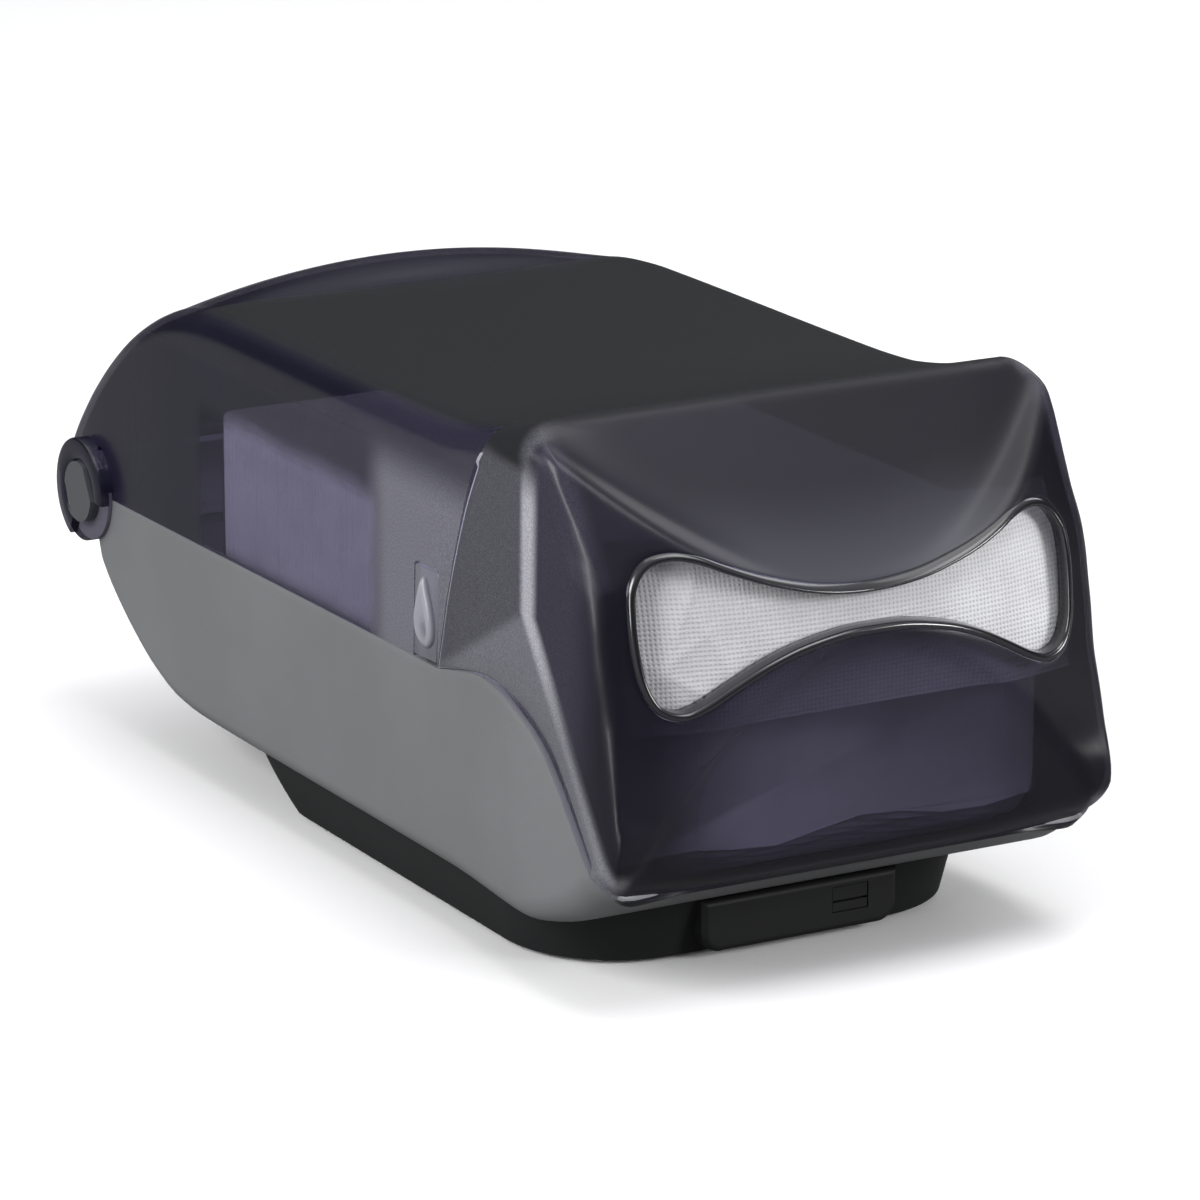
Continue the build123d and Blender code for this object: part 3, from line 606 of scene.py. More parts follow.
def paper(name, emboss_and_shade):
    """Soft fibrous paper; emboss adds rows of small raised diamonds, painted darker as shade, and
    painted shade that greys the sheet towards the left.
    """
    mat = Shader(name)
    fibre = mat.noise(scale=900.0, detail=5.0, rough=0.65)
    soft = mat.noise(scale=60.0, detail=4.0)
    base = mat.mix(mat.step(soft, start=0.35, end=0.7), srgb(233, 232, 235), srgb(246, 246, 248))
    base = mat.mix(mat.mul(mat.step(fibre, start=0.4, end=0.7), 0.25), base, srgb(214, 213, 218))
    height = mat.mul(fibre, 0.35)
    if emboss_and_shade:
        x, y, z = mat.xyz()
        turn = 2 * math.pi / 0.0021 * 0.7071       # 2.1 mm pitch, on both diagonals
        rising = mat.math("SINE", mat.mul(mat.add(x, z), turn))
        falling = mat.math("SINE", mat.mul(mat.sub(x, z), turn))
        diamonds = mat.step(mat.mul(rising, falling), start=-0.2, end=0.8)
        # painted shade: the diamonds of the emboss are painted darker
        base = mat.mix(mat.mul(diamonds, 0.35), base, srgb(176, 176, 184))
        # painted shade: greyer towards the left
        shade = mat.step(x, start=0.03, end=-0.075, low=0.0, high=0.55)
        base = mat.mix(shade, base, srgb(150, 149, 154))
        height = mat.add(height, mat.mul(diamonds, -0.9))
    bump = mat.bump(height, strength=0.75, distance=0.0003)
    sheet = mat.node("BsdfPrincipled", {
        "Base Color": base, "Roughness": 0.86, "Normal": bump,
        "Specular IOR Level": 0.2, "Sheen Weight": 0.25})
    glow = mat.node("BsdfTranslucent", {"Color": (0.85, 0.85, 0.87, 1), "Normal": bump})
    return mat.finish(mat.node("MixShader", {0: 0.15, 1: sheet.outputs[0], 2: glow.outputs[0]}))


M_COVER = smoked("smoked_cover", srgb(20, 19, 33), "cover", coat=0.22, see_through=0.42)
M_FACE = smoked("smoked_face", srgb(13, 12, 22), "face", clear=(0.84, 0.82, 0.93, 1),
                coat=0.08, rough=0.32, see_through=0.19, lets_light=0.6)
M_INNER = smoked("smoked_inner_skin", srgb(13, 13, 20), "inner", lets_light=0.85)
# painted highlight: pale strip on the faceplate beside the seam with the cover
M_SEAM_HIGHLIGHT = smoked("smoked_seam_painted_highlight", srgb(158, 158, 166), "edge")
M_LATCH = smoked("smoked_latch", srgb(98, 98, 106), "latch", coat=0.4)
M_PIN = plastic("hinge_pin_grey", srgb(74, 75, 79), rough=0.34, grain=2300,
                grain_depth=0.15, vary=0.08)
M_BODY = plastic("body_grey_plastic", srgb(112, 113, 115), rough=0.42, grain=2100,
                 grain_depth=0.22, vary=0.05)
M_BASE = plastic("base_grey_plastic", srgb(30, 31, 32), rough=0.52, grain=1900,
                 grain_depth=0.30, vary=0.06, spec=0.3)
M_RIM = plastic("rim_black_gloss", srgb(26, 26, 31), rough=0.20, grain=3000,
                grain_depth=0.05, coat=0.6, scuff=False)
M_BLACK = plastic("black_moulded", srgb(38, 38, 41), rough=0.48, grain=2200)
M_WHITE = plastic("white_moulded", srgb(214, 214, 212), rough=0.42, grain=2200,
                  grain_depth=0.18, vary=0.03)
M_STEEL = metal("screw_steel", (0.62, 0.62, 0.61, 1), rough=0.30, brush=(1, 40, 40))
M_SPRING = metal("spring_steel", (0.50, 0.50, 0.51, 1), rough=0.26, brush=(1, 1, 60))
M_RUBBER = plastic("foot_rubber", srgb(30, 30, 31), rough=0.80, grain=900,
                   grain_depth=0.5, spec=0.3)
M_NAPKIN = paper("napkin_embossed_painted_shade", emboss_and_shade=True)
M_STACK = paper("napkin_edges", emboss_and_shade=False)
BY_SLOT = {
    "body_grey": M_BODY, "base_grey": M_BASE, "smoked_plastic": M_COVER, "rim_dark": M_RIM,
    "black_plastic": M_BLACK, "white_plastic": M_WHITE, "steel": M_STEEL,
    "spring_steel": M_SPRING, "foot_rubber": M_RUBBER, "napkin_paper": M_STACK,
}
# material, body and slot of the pieces added below
SMOKED = (M_COVER, "cover", "smoked_plastic")
GREY = (M_BODY, "housing", "body_grey")


def dress_cad_nodes():
    """Gives each loaded piece the material of its recorded slot, or of its first material."""
    slot_of = {}
    for part in frame["record"].get("subparts", []):
        if isinstance(part, dict):
            slot_of[part.get("node")] = (part.get("material_slot") or part.get("slot")
                                         or part.get("material"))
    for name, obj in frame["nodes"].items():
        materials = obj.data.materials
        own = materials[0].name.split(".")[0] if materials and materials[0] else ""
        material = BY_SLOT.get(slot_of.get(name)) or BY_SLOT.get(own, M_BLACK)
        if name.startswith("hinge_pin"):
            material = M_PIN
        if len(obj.material_slots) == 0:
            materials.append(material)
        for slot in obj.material_slots:
            slot.material = material


dress_cad_nodes()


# ---------------------------------------------------------------- cover: sides, top, rear dome
def shoulder(y, arc_steps, top_steps):
    """(x, z) over the right shoulder and along the crowned top to the middle."""
    top, rise, half, radius = top_z(y), crown_rise(y), half_width(y), top_radius(y)
    points = []
    for i in range(arc_steps):
        angle = quarter(i, arc_steps)
        points.append((half - radius + radius * math.cos(angle),
                       top - radius + radius * math.sin(angle)))
    for i in range(top_steps + 1):
        t = i / top_steps
        points.append(((half - radius) * (1 - t), top + rise * (1 - (1 - t) ** 2)))
    return points


COVER_SIDE, COVER_ARC, COVER_TOP = 30, 14, 26     # steps up a side, round a shoulder, on top
COVER_HALF = COVER_SIDE + COVER_ARC + COVER_TOP + 1
COVER_COLUMNS = 2 * COVER_HALF - 1
HINGE_CLEARANCE = 18.0


def cover_point(column, y):
    """(x, z) of a lengthwise line of the cover, counted from the right parting to the left."""
    mirrored = column >= COVER_HALF
    k = 2 * (COVER_HALF - 1) - column if mirrored else column
    y = np.asarray(y, float)
    side_top = top_z(y) - top_radius(y)
    low = np.minimum(parting_z(y) + SEAM_GAP, side_top)
    side = [(half_width(y), low + (side_top - low) * (i / COVER_SIDE))
            for i in range(COVER_SIDE)]
    x, z = (side + shoulder(y, COVER_ARC, COVER_TOP))[k]
    return (-x if mirrored else x), z


cover_ys = np.unique(np.r_[np.arange(SEAM_Y, 116, 4.0), np.arange(116, 186, 2.0),
                           np.arange(186, 240, 2.5), np.linspace(240, REAR_Y, 16)])
along = (cover_ys - SEAM_Y) / (REAR_Y - SEAM_Y)
cover_grid = np.zeros((len(along), COVER_COLUMNS, 3))
for column in range(COVER_COLUMNS):
    start = settle(-60.0, lambda y: upper_seam_y(cover_point(column, y)[1]) + SEAM_GAP, steps=40)
    y = start + (REAR_Y - start) * along
    x, z = cover_point(column, y)
    cover_grid[:, column] = np.stack([x, y, z], 1)
# push points out of the space round the hinge
reach = np.hypot(cover_grid[..., 1] - HINGE_Y, cover_grid[..., 2] - HINGE_Z)
near = reach < HINGE_CLEARANCE
push = HINGE_CLEARANCE / np.maximum(reach[near], 1e-6)
cover_grid[near, 1] = HINGE_Y + (cover_grid[near, 1] - HINGE_Y) * push
cover_grid[near, 2] = HINGE_Z + (cover_grid[near, 2] - HINGE_Z) * push
cover = add_grid("cover_moulding", cover_grid, *SMOKED, merge=0.12, outward=(0, 80, 90))


def prism(name, outline, x_start, x_end):
    """Cutting block with a (y, z) outline."""
    n = len(outline)
    verts = [(x, y, z) for x in (x_start, x_end) for y, z in outline]
    faces = [tuple(range(n)), tuple(range(n, 2 * n))]
    faces += [(i, (i + 1) % n, n + (i + 1) % n, n + i) for i in range(n)]
    return add_mesh(name, verts, faces, M_BLACK, "cover")


def join(target, extra):
    """Adds the extra cutting block to the target's mesh and removes its object."""
    bm = bmesh.new()
    bm.from_mesh(target.data)
    bm.from_mesh(extra.data)
    bmesh.ops.recalc_face_normals(bm, faces=bm.faces)
    bm.to_mesh(target.data)
    bm.free()
    bpy.data.objects.remove(extra)


# (y, z) outline of the latch window in each side wall
WINDOW = [(-20.6, 80.0), (-37.0, 80.0), (-38.6, 104.0), (-39.4, 119.6), (-38.2, 120.4),
          (-23.4, 120.4), (-22.2, 119.2)]
# clearance round the hinge barrel, so the rear edge of the cover swings past it
barrel_circle = [round_hinge(17.95, 2 * math.pi * i / 72) for i in range(72)]
cutter = prism("cut_tool", WINDOW, -110, -80)
join(cutter, prism("cut_tool_b", WINDOW, 80, 110))
join(cutter, prism("cut_tool_c", barrel_circle, -94, 94))
cover.data.materials.append(M_INNER)
finish_mesh(cover, cut=cutter, inner=1, **SHELL)
bpy.data.objects.remove(cutter)

# ---------------------------------------------------------------- faceplate
# Columns run from the seam over the cheek and the front corner to the opening. They are
# counted round the right half: floor, floor corner, side, shoulder, top.
FLOOR_N, CORNER_N, SIDE_N, SHOULDER_N, TOP_N = 30, 12, 56, 12, 34
SIDE_START = FLOOR_N + CORNER_N
SIDE_END = SIDE_START + SIDE_N
TOP_START = SIDE_END + SHOULDER_N
HALF_N = TOP_START + TOP_N + 1
LOW_SIDE_N = SIDE_N // 2              # side columns below the kink of the ridge
KINK_Z = 124.0
side_zs = np.r_[np.linspace(55.5, KINK_Z, LOW_SIDE_N + 1),
                np.linspace(KINK_Z, 172.5, SIDE_N - LOW_SIDE_N + 1)[1:]][:SIDE_N]


def whole_half(y):
    """(x, z) right half of the closed section, from the middle of the floor to that of the top."""
    floor, half, radius = floor_z(y), half_width(y), floor_radius(y)
    points = [((half - radius) * i / FLOOR_N, floor) for i in range(FLOOR_N)]
    for i in range(CORNER_N):
        angle = quarter(i, CORNER_N)
        points.append((half - radius + radius * math.sin(angle),
                       floor + radius - radius * math.cos(angle)))
    height = top_z(y) - top_radius(y) - floor - radius
    points += [(half, floor + radius + height * i / SIDE_N) for i in range(SIDE_N)]
    return points + shoulder(y, SHOULDER_N, TOP_N)


def corner_loop():
    """Sharp corner where the sides meet the front, before rounding."""
    flat_x, floor, radius = 77.5, 41.2, 14.0
    loop = [(flat_x * i / FLOOR_N, floor) for i in range(FLOOR_N)]
    for i in range(CORNER_N):
        angle = quarter(i, CORNER_N)
        loop.append((flat_x + radius * math.sin(angle),
                     floor + radius - radius * math.cos(angle)))
    for z in side_zs:
        loop.append((91.5 + 0.8 * math.exp(-((z - 172) / 14.0) ** 2), z))
    top_x, shoulder_z, radius = 80.6, 173.2, 11.4
    for i in range(SHOULDER_N):
        angle = quarter(i, SHOULDER_N)
        loop.append((top_x + radius * math.cos(angle), shoulder_z + radius * math.sin(angle)))
    for i in range(TOP_N + 1):
        t = i / TOP_N
        loop.append((top_x * (1 - t), shoulder_z + radius + 0.3 * t))
    x, z = np.array(loop).T
    return np.stack([x, face_y(x, z), z], 1)


def seam_line():
    """Rear edge of the faceplate, against the body and then against the cover."""
    seam = np.zeros((HALF_N, 3))
    for columns, seam_y in ((range(SIDE_START), lambda z: lower_seam_y(z) - 0.1),
                            (range(SIDE_END, HALF_N), lambda z: upper_seam_y(z) - SEAM_GAP)):
        for c in columns:
            y = settle(-100.0, lambda y: seam_y(whole_half(y)[c][1]), steps=60)
            x, z = whole_half(y)[c]
            seam[c] = (x, y, z)
    _, low_y, low_z = seam[SIDE_START - 1]
    _, high_y, high_z = seam[SIDE_END]
    lower = [(low_y, low_z)] + [(y - 0.1, z + 0.12) for y, z in reversed(LOWER_SEAM)
                                if z > low_z + 1 and y > low_y]
    upper = [(y - SEAM_GAP, z) for y, z in UPPER_SEAM if z < high_z - 1] + [(high_y, high_z)]
    side = np.r_[resample(catmull(lower, 6), LOW_SIDE_N + 2)[:-1],
                 resample(catmull(upper, 6), SIDE_N + 1 - LOW_SIDE_N)]
    for i in range(SIDE_N):
        y, z = side[i + 1]
        seam[SIDE_START + i] = (90.0 + 0.8 * max(0.0, min(1.0, (-60 - y) / 90.0)), y, z)
    return seam


# ridge along each cheek: level at the top, slanting forward below the kink
RIDGE_Y = [(40, -158.0), (55, -150.0), (60, -147.0), (84, -132.4), (100, -122.0),
           (115, -112.4), (124, -107.6), (140, -106.6), (190, -106.6)]      # (z, y)
RIDGE_X = [(50, 92.2), (60, 92.9), (84, 93.9), (110, 94.6), (124, 94.9), (172, 94.6)]  # (z, x)


def ridge_line(seam, corner):
    ridge = 0.5 * (seam + corner)
    ridge_y = hermite(RIDGE_Y)
    for c, z in enumerate(side_zs, SIDE_START):
        ridge[c] = (np.interp(z, *np.array(RIDGE_X).T), ridge_y(z), z)
    for i in range(SHOULDER_N):
        angle = quarter(i, SHOULDER_N)
        ridge[SIDE_END + i] = (83.4 + 11.2 * math.cos(angle),
                               -106.6 + 11.6 * (i / SHOULDER_N),
                               172.6 + 10.6 * math.sin(angle))
    top_y = -94.0
    for i in range(TOP_N + 1):
        t = i / TOP_N
        ridge[TOP_START + i] = (83.4 * (1 - t), top_y, float(top_z(top_y)) + 0.3 * t)
    # the floor corner blends from halfway to just behind the front corner
    for i in range(CORNER_N):
        c = FLOOR_N + i
        t = i / CORNER_N
        target = corner[c] + np.array([0.5, 4.0 * t + 1.5, 0.0])
        ridge[c] = ridge[c] * (1 - t) + target * t
    return ridge


# opening outline, clockwise seen from the front, with outward normals in the xz plane
opening = catmull(OPENING + [(-x, z) for x, z in reversed(OPENING[1:-1])], 16, closed=True)
tangent = np.roll(opening, -1, 0) - np.roll(opening, 1, 0)
opening_normal = np.stack([-tangent[:, 1], tangent[:, 0]], 1)
opening_normal /= np.linalg.norm(tangent, axis=1)[:, None]


def hole_line():
    """(x, z) of the faceplate's hole for each column, bottom middle to top middle."""
    hole = opening + opening_normal * 2.85
    right = hole[:16 * (len(OPENING) - 1) + 1][::-1]
    lower = int(np.argmin(np.hypot(right[:, 0] - 69.0, right[:, 1] - 98.2)))
    upper = int(np.argmin(np.hypot(right[:, 0] - 74.0, right[:, 1] - 147.2)))
    line = np.r_[resample(right[:lower + 1], FLOOR_N + CORNER_N // 2 + 1)[:-1],
                 resample(right[lower:upper + 1],
                          SIDE_N + CORNER_N // 2 + SHOULDER_N // 2 + 1)[:-1]]
    return np.r_[line, resample(right[upper:], HALF_N - len(line))]


corner = corner_loop()
seam = seam_line()
ridge = ridge_line(seam, corner)
hole_edge = hole_line()


def round_off(start, apex, end, count):
    """Points inside a quadratic curve from start to end that bends towards apex."""
    return np.array([(1 - t) ** 2 * start + 2 * t * (1 - t) * apex + t * t * end
                     for t in np.linspace(0, 1, count + 2)[1:-1]])


def top_surface(x, y):
    return float(top_z(y)) + 0.3 * (1 - abs(x) / 84.0)


def face_column(c):
    """Points from the seam over the cheek, its ridge and the corner, across to the opening."""
    apex = corner[c]
    span = ridge[c] - seam[c]
    lip = min(2.8 / np.linalg.norm(span), 0.3)        # narrow band beside the seam
    cheek = []
    for t in np.r_[0, lip, np.linspace(lip, 1, 16)[1:]]:
        p = seam[c] + span * t
        y = p[1]
        if SIDE_START <= c < SIDE_END:
            p[0] += 0.75 * min(t / lip, 1.0) * (1 - t)
        elif c >= TOP_START:
            p[2] = top_surface(p[0], y)
        elif c > SIDE_END:
            angle = quarter(c - SIDE_END, SHOULDER_N)
            radius = float(top_radius(y))
            half = float(np.interp(y, [-104, -75, -40], [94.6, 92.0, 90.0]))
            p[0] = half - radius + radius * math.cos(angle)
            p[2] = float(top_z(y)) - radius + radius * math.sin(angle)
        cheek.append(p)
    cheek = np.array(cheek)
    flank = np.array([cheek[-1] + (apex - cheek[-1]) * t for t in np.linspace(0, 1, 10)])
    if c >= TOP_START:
        flank[:, 2] = [top_surface(x, y) for x, y in flank[:, :2]]
        flank[-1] = apex
    t = np.linspace(0, 1, 57)
    x = apex[0] + (hole_edge[c][0] - apex[0]) * t
    z = apex[2] + (hole_edge[c][1] - apex[2]) * t
    front = np.stack([x, face_y(x, z), z], 1)

    cheek_len, flank_len, front_len = path_length(cheek), path_length(flank), path_length(front)
    ridge_round = min(2.6, cheek_len * 0.3, flank_len * 0.35)
    corner_round = float(np.interp(apex[2], [41, 50, 110, 150, 180, 186],
                                   [5.0, 7.0, 12.0, 12.0, 8.0, 6.5]))
    corner_round = min(corner_round, flank_len * 0.6, front_len * 0.5)
    ridge_at = 1 - ridge_round / cheek_len
    front_at = corner_round / front_len
    cheek_part = resample(cheek, at=np.r_[0, 0.9 * lip, 1.1 * lip,
                                          np.linspace(1.1 * lip, ridge_at, 13)[1:]])
    flank_part = resample(flank, at=np.linspace(ridge_round / flank_len,
                                                1 - corner_round / flank_len, 8))
    front_part = resample(front, at=front_at + (1 - front_at) * np.linspace(0, 1, 46))
    return np.r_[cheek_part, round_off(cheek_part[-1], cheek[-1], flank_part[0], 3),
                 flank_part, round_off(flank_part[-1], apex, front_part[0], 7), front_part]


right_columns = [face_column(c) for c in range(HALF_N)]
left_columns = [right_columns[c] * np.array([-1, 1, 1]) for c in range(HALF_N - 2, 0, -1)]
face_grid = np.array(right_columns + left_columns).transpose(1, 0, 2)
face = add_grid("faceplate_moulding", face_grid, M_FACE, "cover", "smoked_plastic",
                wrap=True, outward=(0, -80, 110))
for material in (M_SEAM_HIGHLIGHT, M_INNER, M_INNER):
    face.data.materials.append(material)
# painted highlight: pale strip on both sides along the seam with the cover
for c in range(SIDE_START + LOW_SIDE_N - 3, SIDE_END + 2):
    for j in (c, 2 * (HALF_N - 1) - c - 1):
        face.data.polygons[j].material_index = 1
finish_mesh(face, inner=2, **SHELL)

# ---------------------------------------------------------------- bead round the opening
# (offset outward from the opening's outline, depth behind the front surface)
BEAD_PROFILE = [(-0.02, 5.2), (-0.02, 3.0), (0.0, 0.6), (0.12, -0.25), (0.5, -0.85),
                (1.1, -1.15), (1.75, -1.05), (2.3, -0.65), (2.62, 0.0), (2.7, 0.9),
                (2.7, 2.4), (2.7, 5.2)]
bead = []
for offset, depth in BEAD_PROFILE + BEAD_PROFILE[:1]:
    x, z = (opening + opening_normal * offset).T
    bead.append(np.stack([x, face_y(x, z) + depth, z], 1))
rim = add_grid("opening_bead", bead, M_RIM, "cover", "rim_dark", wrap=True, merge=0.01)

# ---------------------------------------------------------------- lower body
REAR_SLOPE = math.radians(-108.5)     # direction of the rear wall, down from the hinge
TAIL_Y = 195.0                        # from here the rows fan out to the sloping rear end
lower_curve = catmull(sorted(LOWER_SEAM), 10)


def rear_y(z):
    return HINGE_Y + (HINGE_Z - z) * math.cos(REAR_SLOPE) / -math.sin(REAR_SLOPE)


def body_half(y):
    """Right half of the body's section, as (x, z) from the middle of the floor to its rim."""
    rim_z = float(np.interp(y, *lower_curve.T)) if y < SEAM_Y else float(parting_z(y))
    rim_z -= SEAM_GAP
    floor, half, radius = float(floor_z(y)), float(half_width(y)), float(floor_radius(y))
    points = [((half - radius) * i / 16, floor) for i in range(16)]
    end = math.acos(max(0.0, min(1.0, (floor + radius - rim_z) / radius)))
    for i in range(14):
        angle = end * i / 14
        points.append((half - radius + radius * math.sin(angle),
                       floor + radius - radius * math.cos(angle)))
    x = half - radius + radius * math.sin(end)
    z = floor + radius - radius * math.cos(end)
    return points + [(x, z + (rim_z - z) * i / 24) for i in range(25)]


def both_sides(half):
    return [(-x, y, z) for x, y, z in reversed(half[1:])] + half


body_rows = []
for y in np.unique(np.r_[np.linspace(-148.9, -136, 12), np.arange(-136, -34, 3.0),
                         np.arange(-34, 180, 6.0), np.arange(180, 196, 3.0)]):
    body_rows.append(both_sides([(x, y, z) for x, z in body_half(y)]))
ends = [settle(218.0, lambda y: min(HINGE_Y, rear_y(body_half(y)[c][1])), steps=20, pull=0.6)
        for c in range(len(body_half(TAIL_Y)))]
for t in np.linspace(0, 1, 14)[1:]:
    row = []
    for c, end in enumerate(ends):
        y = TAIL_Y + (end - TAIL_Y) * t
        x, z = body_half(y)[c]
        row.append((x, y, z))
    body_rows.append(both_sides(row))
body = add_grid("body_moulding", body_rows, *GREY, merge=0.02, outward=(0, 40, 80))
finish_mesh(body, **SHELL)

WALL_START = 14.6                     # distance of the rear wall's top from the hinge axis


def wall_reach(x):
    """How far the rear wall runs from the hinge axis before it meets the floor's outline."""
    near, far = WALL_START, 60.0
    for _ in range(30):
        middle = 0.5 * (near + far)
        y, z = round_hinge(middle, REAR_SLOPE)
        half, radius = float(half_width(y)), float(floor_radius(y))
        over = min(max(abs(x) - (half - radius), 0.0), radius)
        corner_z = float(floor_z(y)) + radius - math.sqrt(max(0.0, radius * radius - over * over))
        if z > corner_z + 0.25:
            near = middle
        else:
            far = middle
    return near


wall_xs = np.linspace(-88.6, 88.6, 61)
reaches = [wall_reach(x) for x in wall_xs]
wall = [[(x, *round_hinge(WALL_START + (reach - WALL_START) * i / 8, REAR_SLOPE))
         for x, reach in zip(wall_xs, reaches)] for i in range(9)]
rear = add_grid("body_rear_wall", wall, *GREY, outward=(0, 100, 70))
finish_mesh(rear, wall=2.4, edge=0.3, angle=50)


# ---------------------------------------------------------------- hinge barrel, cheeks, ears
def lathe(name, profile, start, end, steps, owner):
    """Closed (x, radius) outline turned about the hinge axis from start to end degrees."""
    full = end - start == 360
    rings = steps if full else steps + 1
    n = len(profile)
    verts = []
    for i in range(rings):
        angle = math.radians(start + (end - start) * i / steps)
        verts += [(x, *round_hinge(radius, angle)) for x, radius in profile]
    faces = []
    for i in range(steps):
        j = (i + 1) % rings
        for k in range(n):
            m = (k + 1) % n
            faces.append((i * n + k, i * n + m, j * n + m, j * n + k))
    if not full:
        faces.append(tuple(range(n)))
        faces.append(tuple((rings - 1) * n + k for k in range(n)))
    finish_mesh(add_mesh(name, verts, faces, *owner, merge=0.004), angle=35)


# (x, radius) outlines of the right-hand parts
CHEEK = [(87.4, 9.2), (87.4, 17.4), (90.0, 17.4), (90.0, 17.9), (91.2, 17.9), (91.5, 17.7),
         (91.6, 17.3), (91.6, 9.2)]
EAR = [(91.9, 11.15), (91.9, 19.4), (94.3, 19.4), (94.9, 19.15), (95.2, 18.5), (95.2, 13.4),
       (94.9, 12.4), (94.3, 11.6), (93.6, 11.25), (92.8, 11.15)]
EAR_WEB = [(88.3, 18.3), (88.3, 19.4), (94.2, 19.4), (94.2, 18.3)]
barrel = [(-88.5 + 177.0 * i / 20, 15.2) for i in range(21)] + [(88.5, 12.9), (-88.5, 12.9)]
lathe("hinge_barrel", barrel, start=-126, end=48, steps=44, owner=GREY)
for side, tag in SIDES:
    # the ear is a C-shaped ring round the pin; the web joins it to the cover's side wall
    for name, profile, start, end, steps, owner in (
            ("hinge_cheek_", CHEEK, 0, 360, 72, GREY),
            ("cover_ear_", EAR, -64, 184, 84, SMOKED),
            ("cover_ear_web_", EAR_WEB, 10, 170, 60, SMOKED)):
        lathe(name + tag, [(side * x, radius) for x, radius in profile], start, end, steps, owner)

# ---------------------------------------------------------------- latch tabs
LATCH_X = 89.95                       # outer face of the latch plate
# (y, z) outlines
LATCH_PLATE = [(-21.0, 88.75), (-36.5, 89.1), (-38.1, 104.0), (-38.9, 118.6), (-38.0, 119.5),
               (-23.4, 119.5), (-22.6, 118.6)]
LATCH_TONGUE = [(-34.0, 80.0), (-24.0, 80.0), (-24.0, 95.0), (-34.0, 95.0)]
BUTTON = [(-29.6, 117.2), (-33.4, 110.5), (-35.9, 103.0), (-35.6, 96.4), (-31.6, 92.7),
          (-27.2, 93.2), (-24.3, 97.2), (-24.2, 103.5), (-26.4, 111.0)]
BUTTON_Y, BUTTON_Z = -30.0, 101.0
# (share of the outline's size, height above the plate), from the rim inwards
BUTTON_RINGS = [(1.0, -0.3), (0.985, 0.5), (0.93, 1.35), (0.84, 2.05), (0.70, 2.45),
                (0.52, 2.2), (0.34, 1.75), (0.18, 1.5), (0.02, 1.42)]


def slab(name, outline, x_outer, x_inner, edge, owner):
    """Flat plate with a (y, z) outline."""
    n = len(outline)
    verts = [(x, y, z) for x in (x_outer, x_inner) for y, z in outline]
    faces = [tuple(range(n)), tuple(reversed(range(n, 2 * n)))]
    faces += [(i, n + i, n + (i + 1) % n, (i + 1) % n) for i in range(n)]
    obj = add_mesh(name, verts, faces, *owner)
    finish_mesh(obj, edge=edge)
    return obj


def latch_button(side, tag, owner):
    """Teardrop button with a finger dish near its lower end."""
    outline = catmull(BUTTON, 8, closed=True)
    rings = []
    for size, height in BUTTON_RINGS:
        ring = []
        for y, z in outline:
            y = BUTTON_Y + (y - BUTTON_Y) * size
            z = BUTTON_Z + (z - BUTTON_Z) * size
            dish = 0.0
            if height > 0.4:
                dish = 1.3 * math.exp(-((y + 29.8) / 3.6) ** 2 - ((z - 96.5) / 4.2) ** 2)
            ring.append((side * (LATCH_X + height - dish), y, z))
        rings.append(ring)
    add_grid("latch_button_" + tag, rings, *owner, wrap=True,
             outward=(side * 80, BUTTON_Y, BUTTON_Z))


latch_plates = {}
for side, tag in SIDES:
    owner = (M_LATCH, "latch_tab_" + tag, "smoked_plastic")
    latch_plates[tag] = slab("latch_plate_" + tag, LATCH_PLATE, side * LATCH_X, side * 87.7,
                             edge=0.3, owner=owner)
    latch_button(side, tag, owner)
    slab("latch_tongue_" + tag, LATCH_TONGUE, side * 87.15, side * 85.5, edge=0.35, owner=owner)

# ---------------------------------------------------------------- napkin stack
stack_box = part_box("napkin_stack")
STACK_FRONT, STACK_REAR = [(end.y - SHIFT) / MM for end in stack_box]
LAYERS = 118
STACK_HALF, STACK_FLOOR, STACK_HEIGHT, STACK_RADIUS = 81.6, 26.4, 107.4, 2.4
# (place within one layer's pitch, growth of the outline): each fold is pinched at both faces
FOLD = ((0.04, -0.75), (0.32, -0.12), (0.68, -0.12), (0.96, -0.75))


def stack_section(shift_x, shift_z, grow, chin):
    """(x, z) outline of the stack; chin lifts its floor."""
    half = STACK_HALF + grow
    low = STACK_FLOOR - grow * 0.2 + shift_z * 0.3 + chin
    high = STACK_FLOOR + STACK_HEIGHT + grow + shift_z
    radius = STACK_RADIUS
    corners = []
    for x, z, start in ((half - radius, low + radius, -90), (half - radius, high - radius, 0),
                        (-half + radius, high - radius, 90), (-half + radius, low + radius, 180)):
        for i in range(5):
            angle = math.radians(start + 22.5 * i)
            corners.append((x + radius * math.cos(angle) + shift_x,
                            z + radius * math.sin(angle)))
    outline = []
    for i, a in enumerate(corners):
        outline.append(a)
        if i % 5 == 4:
            b = corners[(i + 1) % len(corners)]
            outline += [(a[0] + (b[0] - a[0]) * k / 10, a[1] + (b[1] - a[1]) * k / 10)
                        for k in range(1, 10)]
    return outline


def sag(x, z, layer, chin):
    """Unevenness of the lower edge where the floor is lifted."""
    share = max(0.0, 1 - (z - STACK_FLOOR - chin) / 22.0)
    wave = 1.6 * math.sin(x / 11.0 + layer) + 2.2 * max(0.0, math.sin(x / 23.0 + 0.6))
    return share * wave * min(1.0, chin / 8.0)


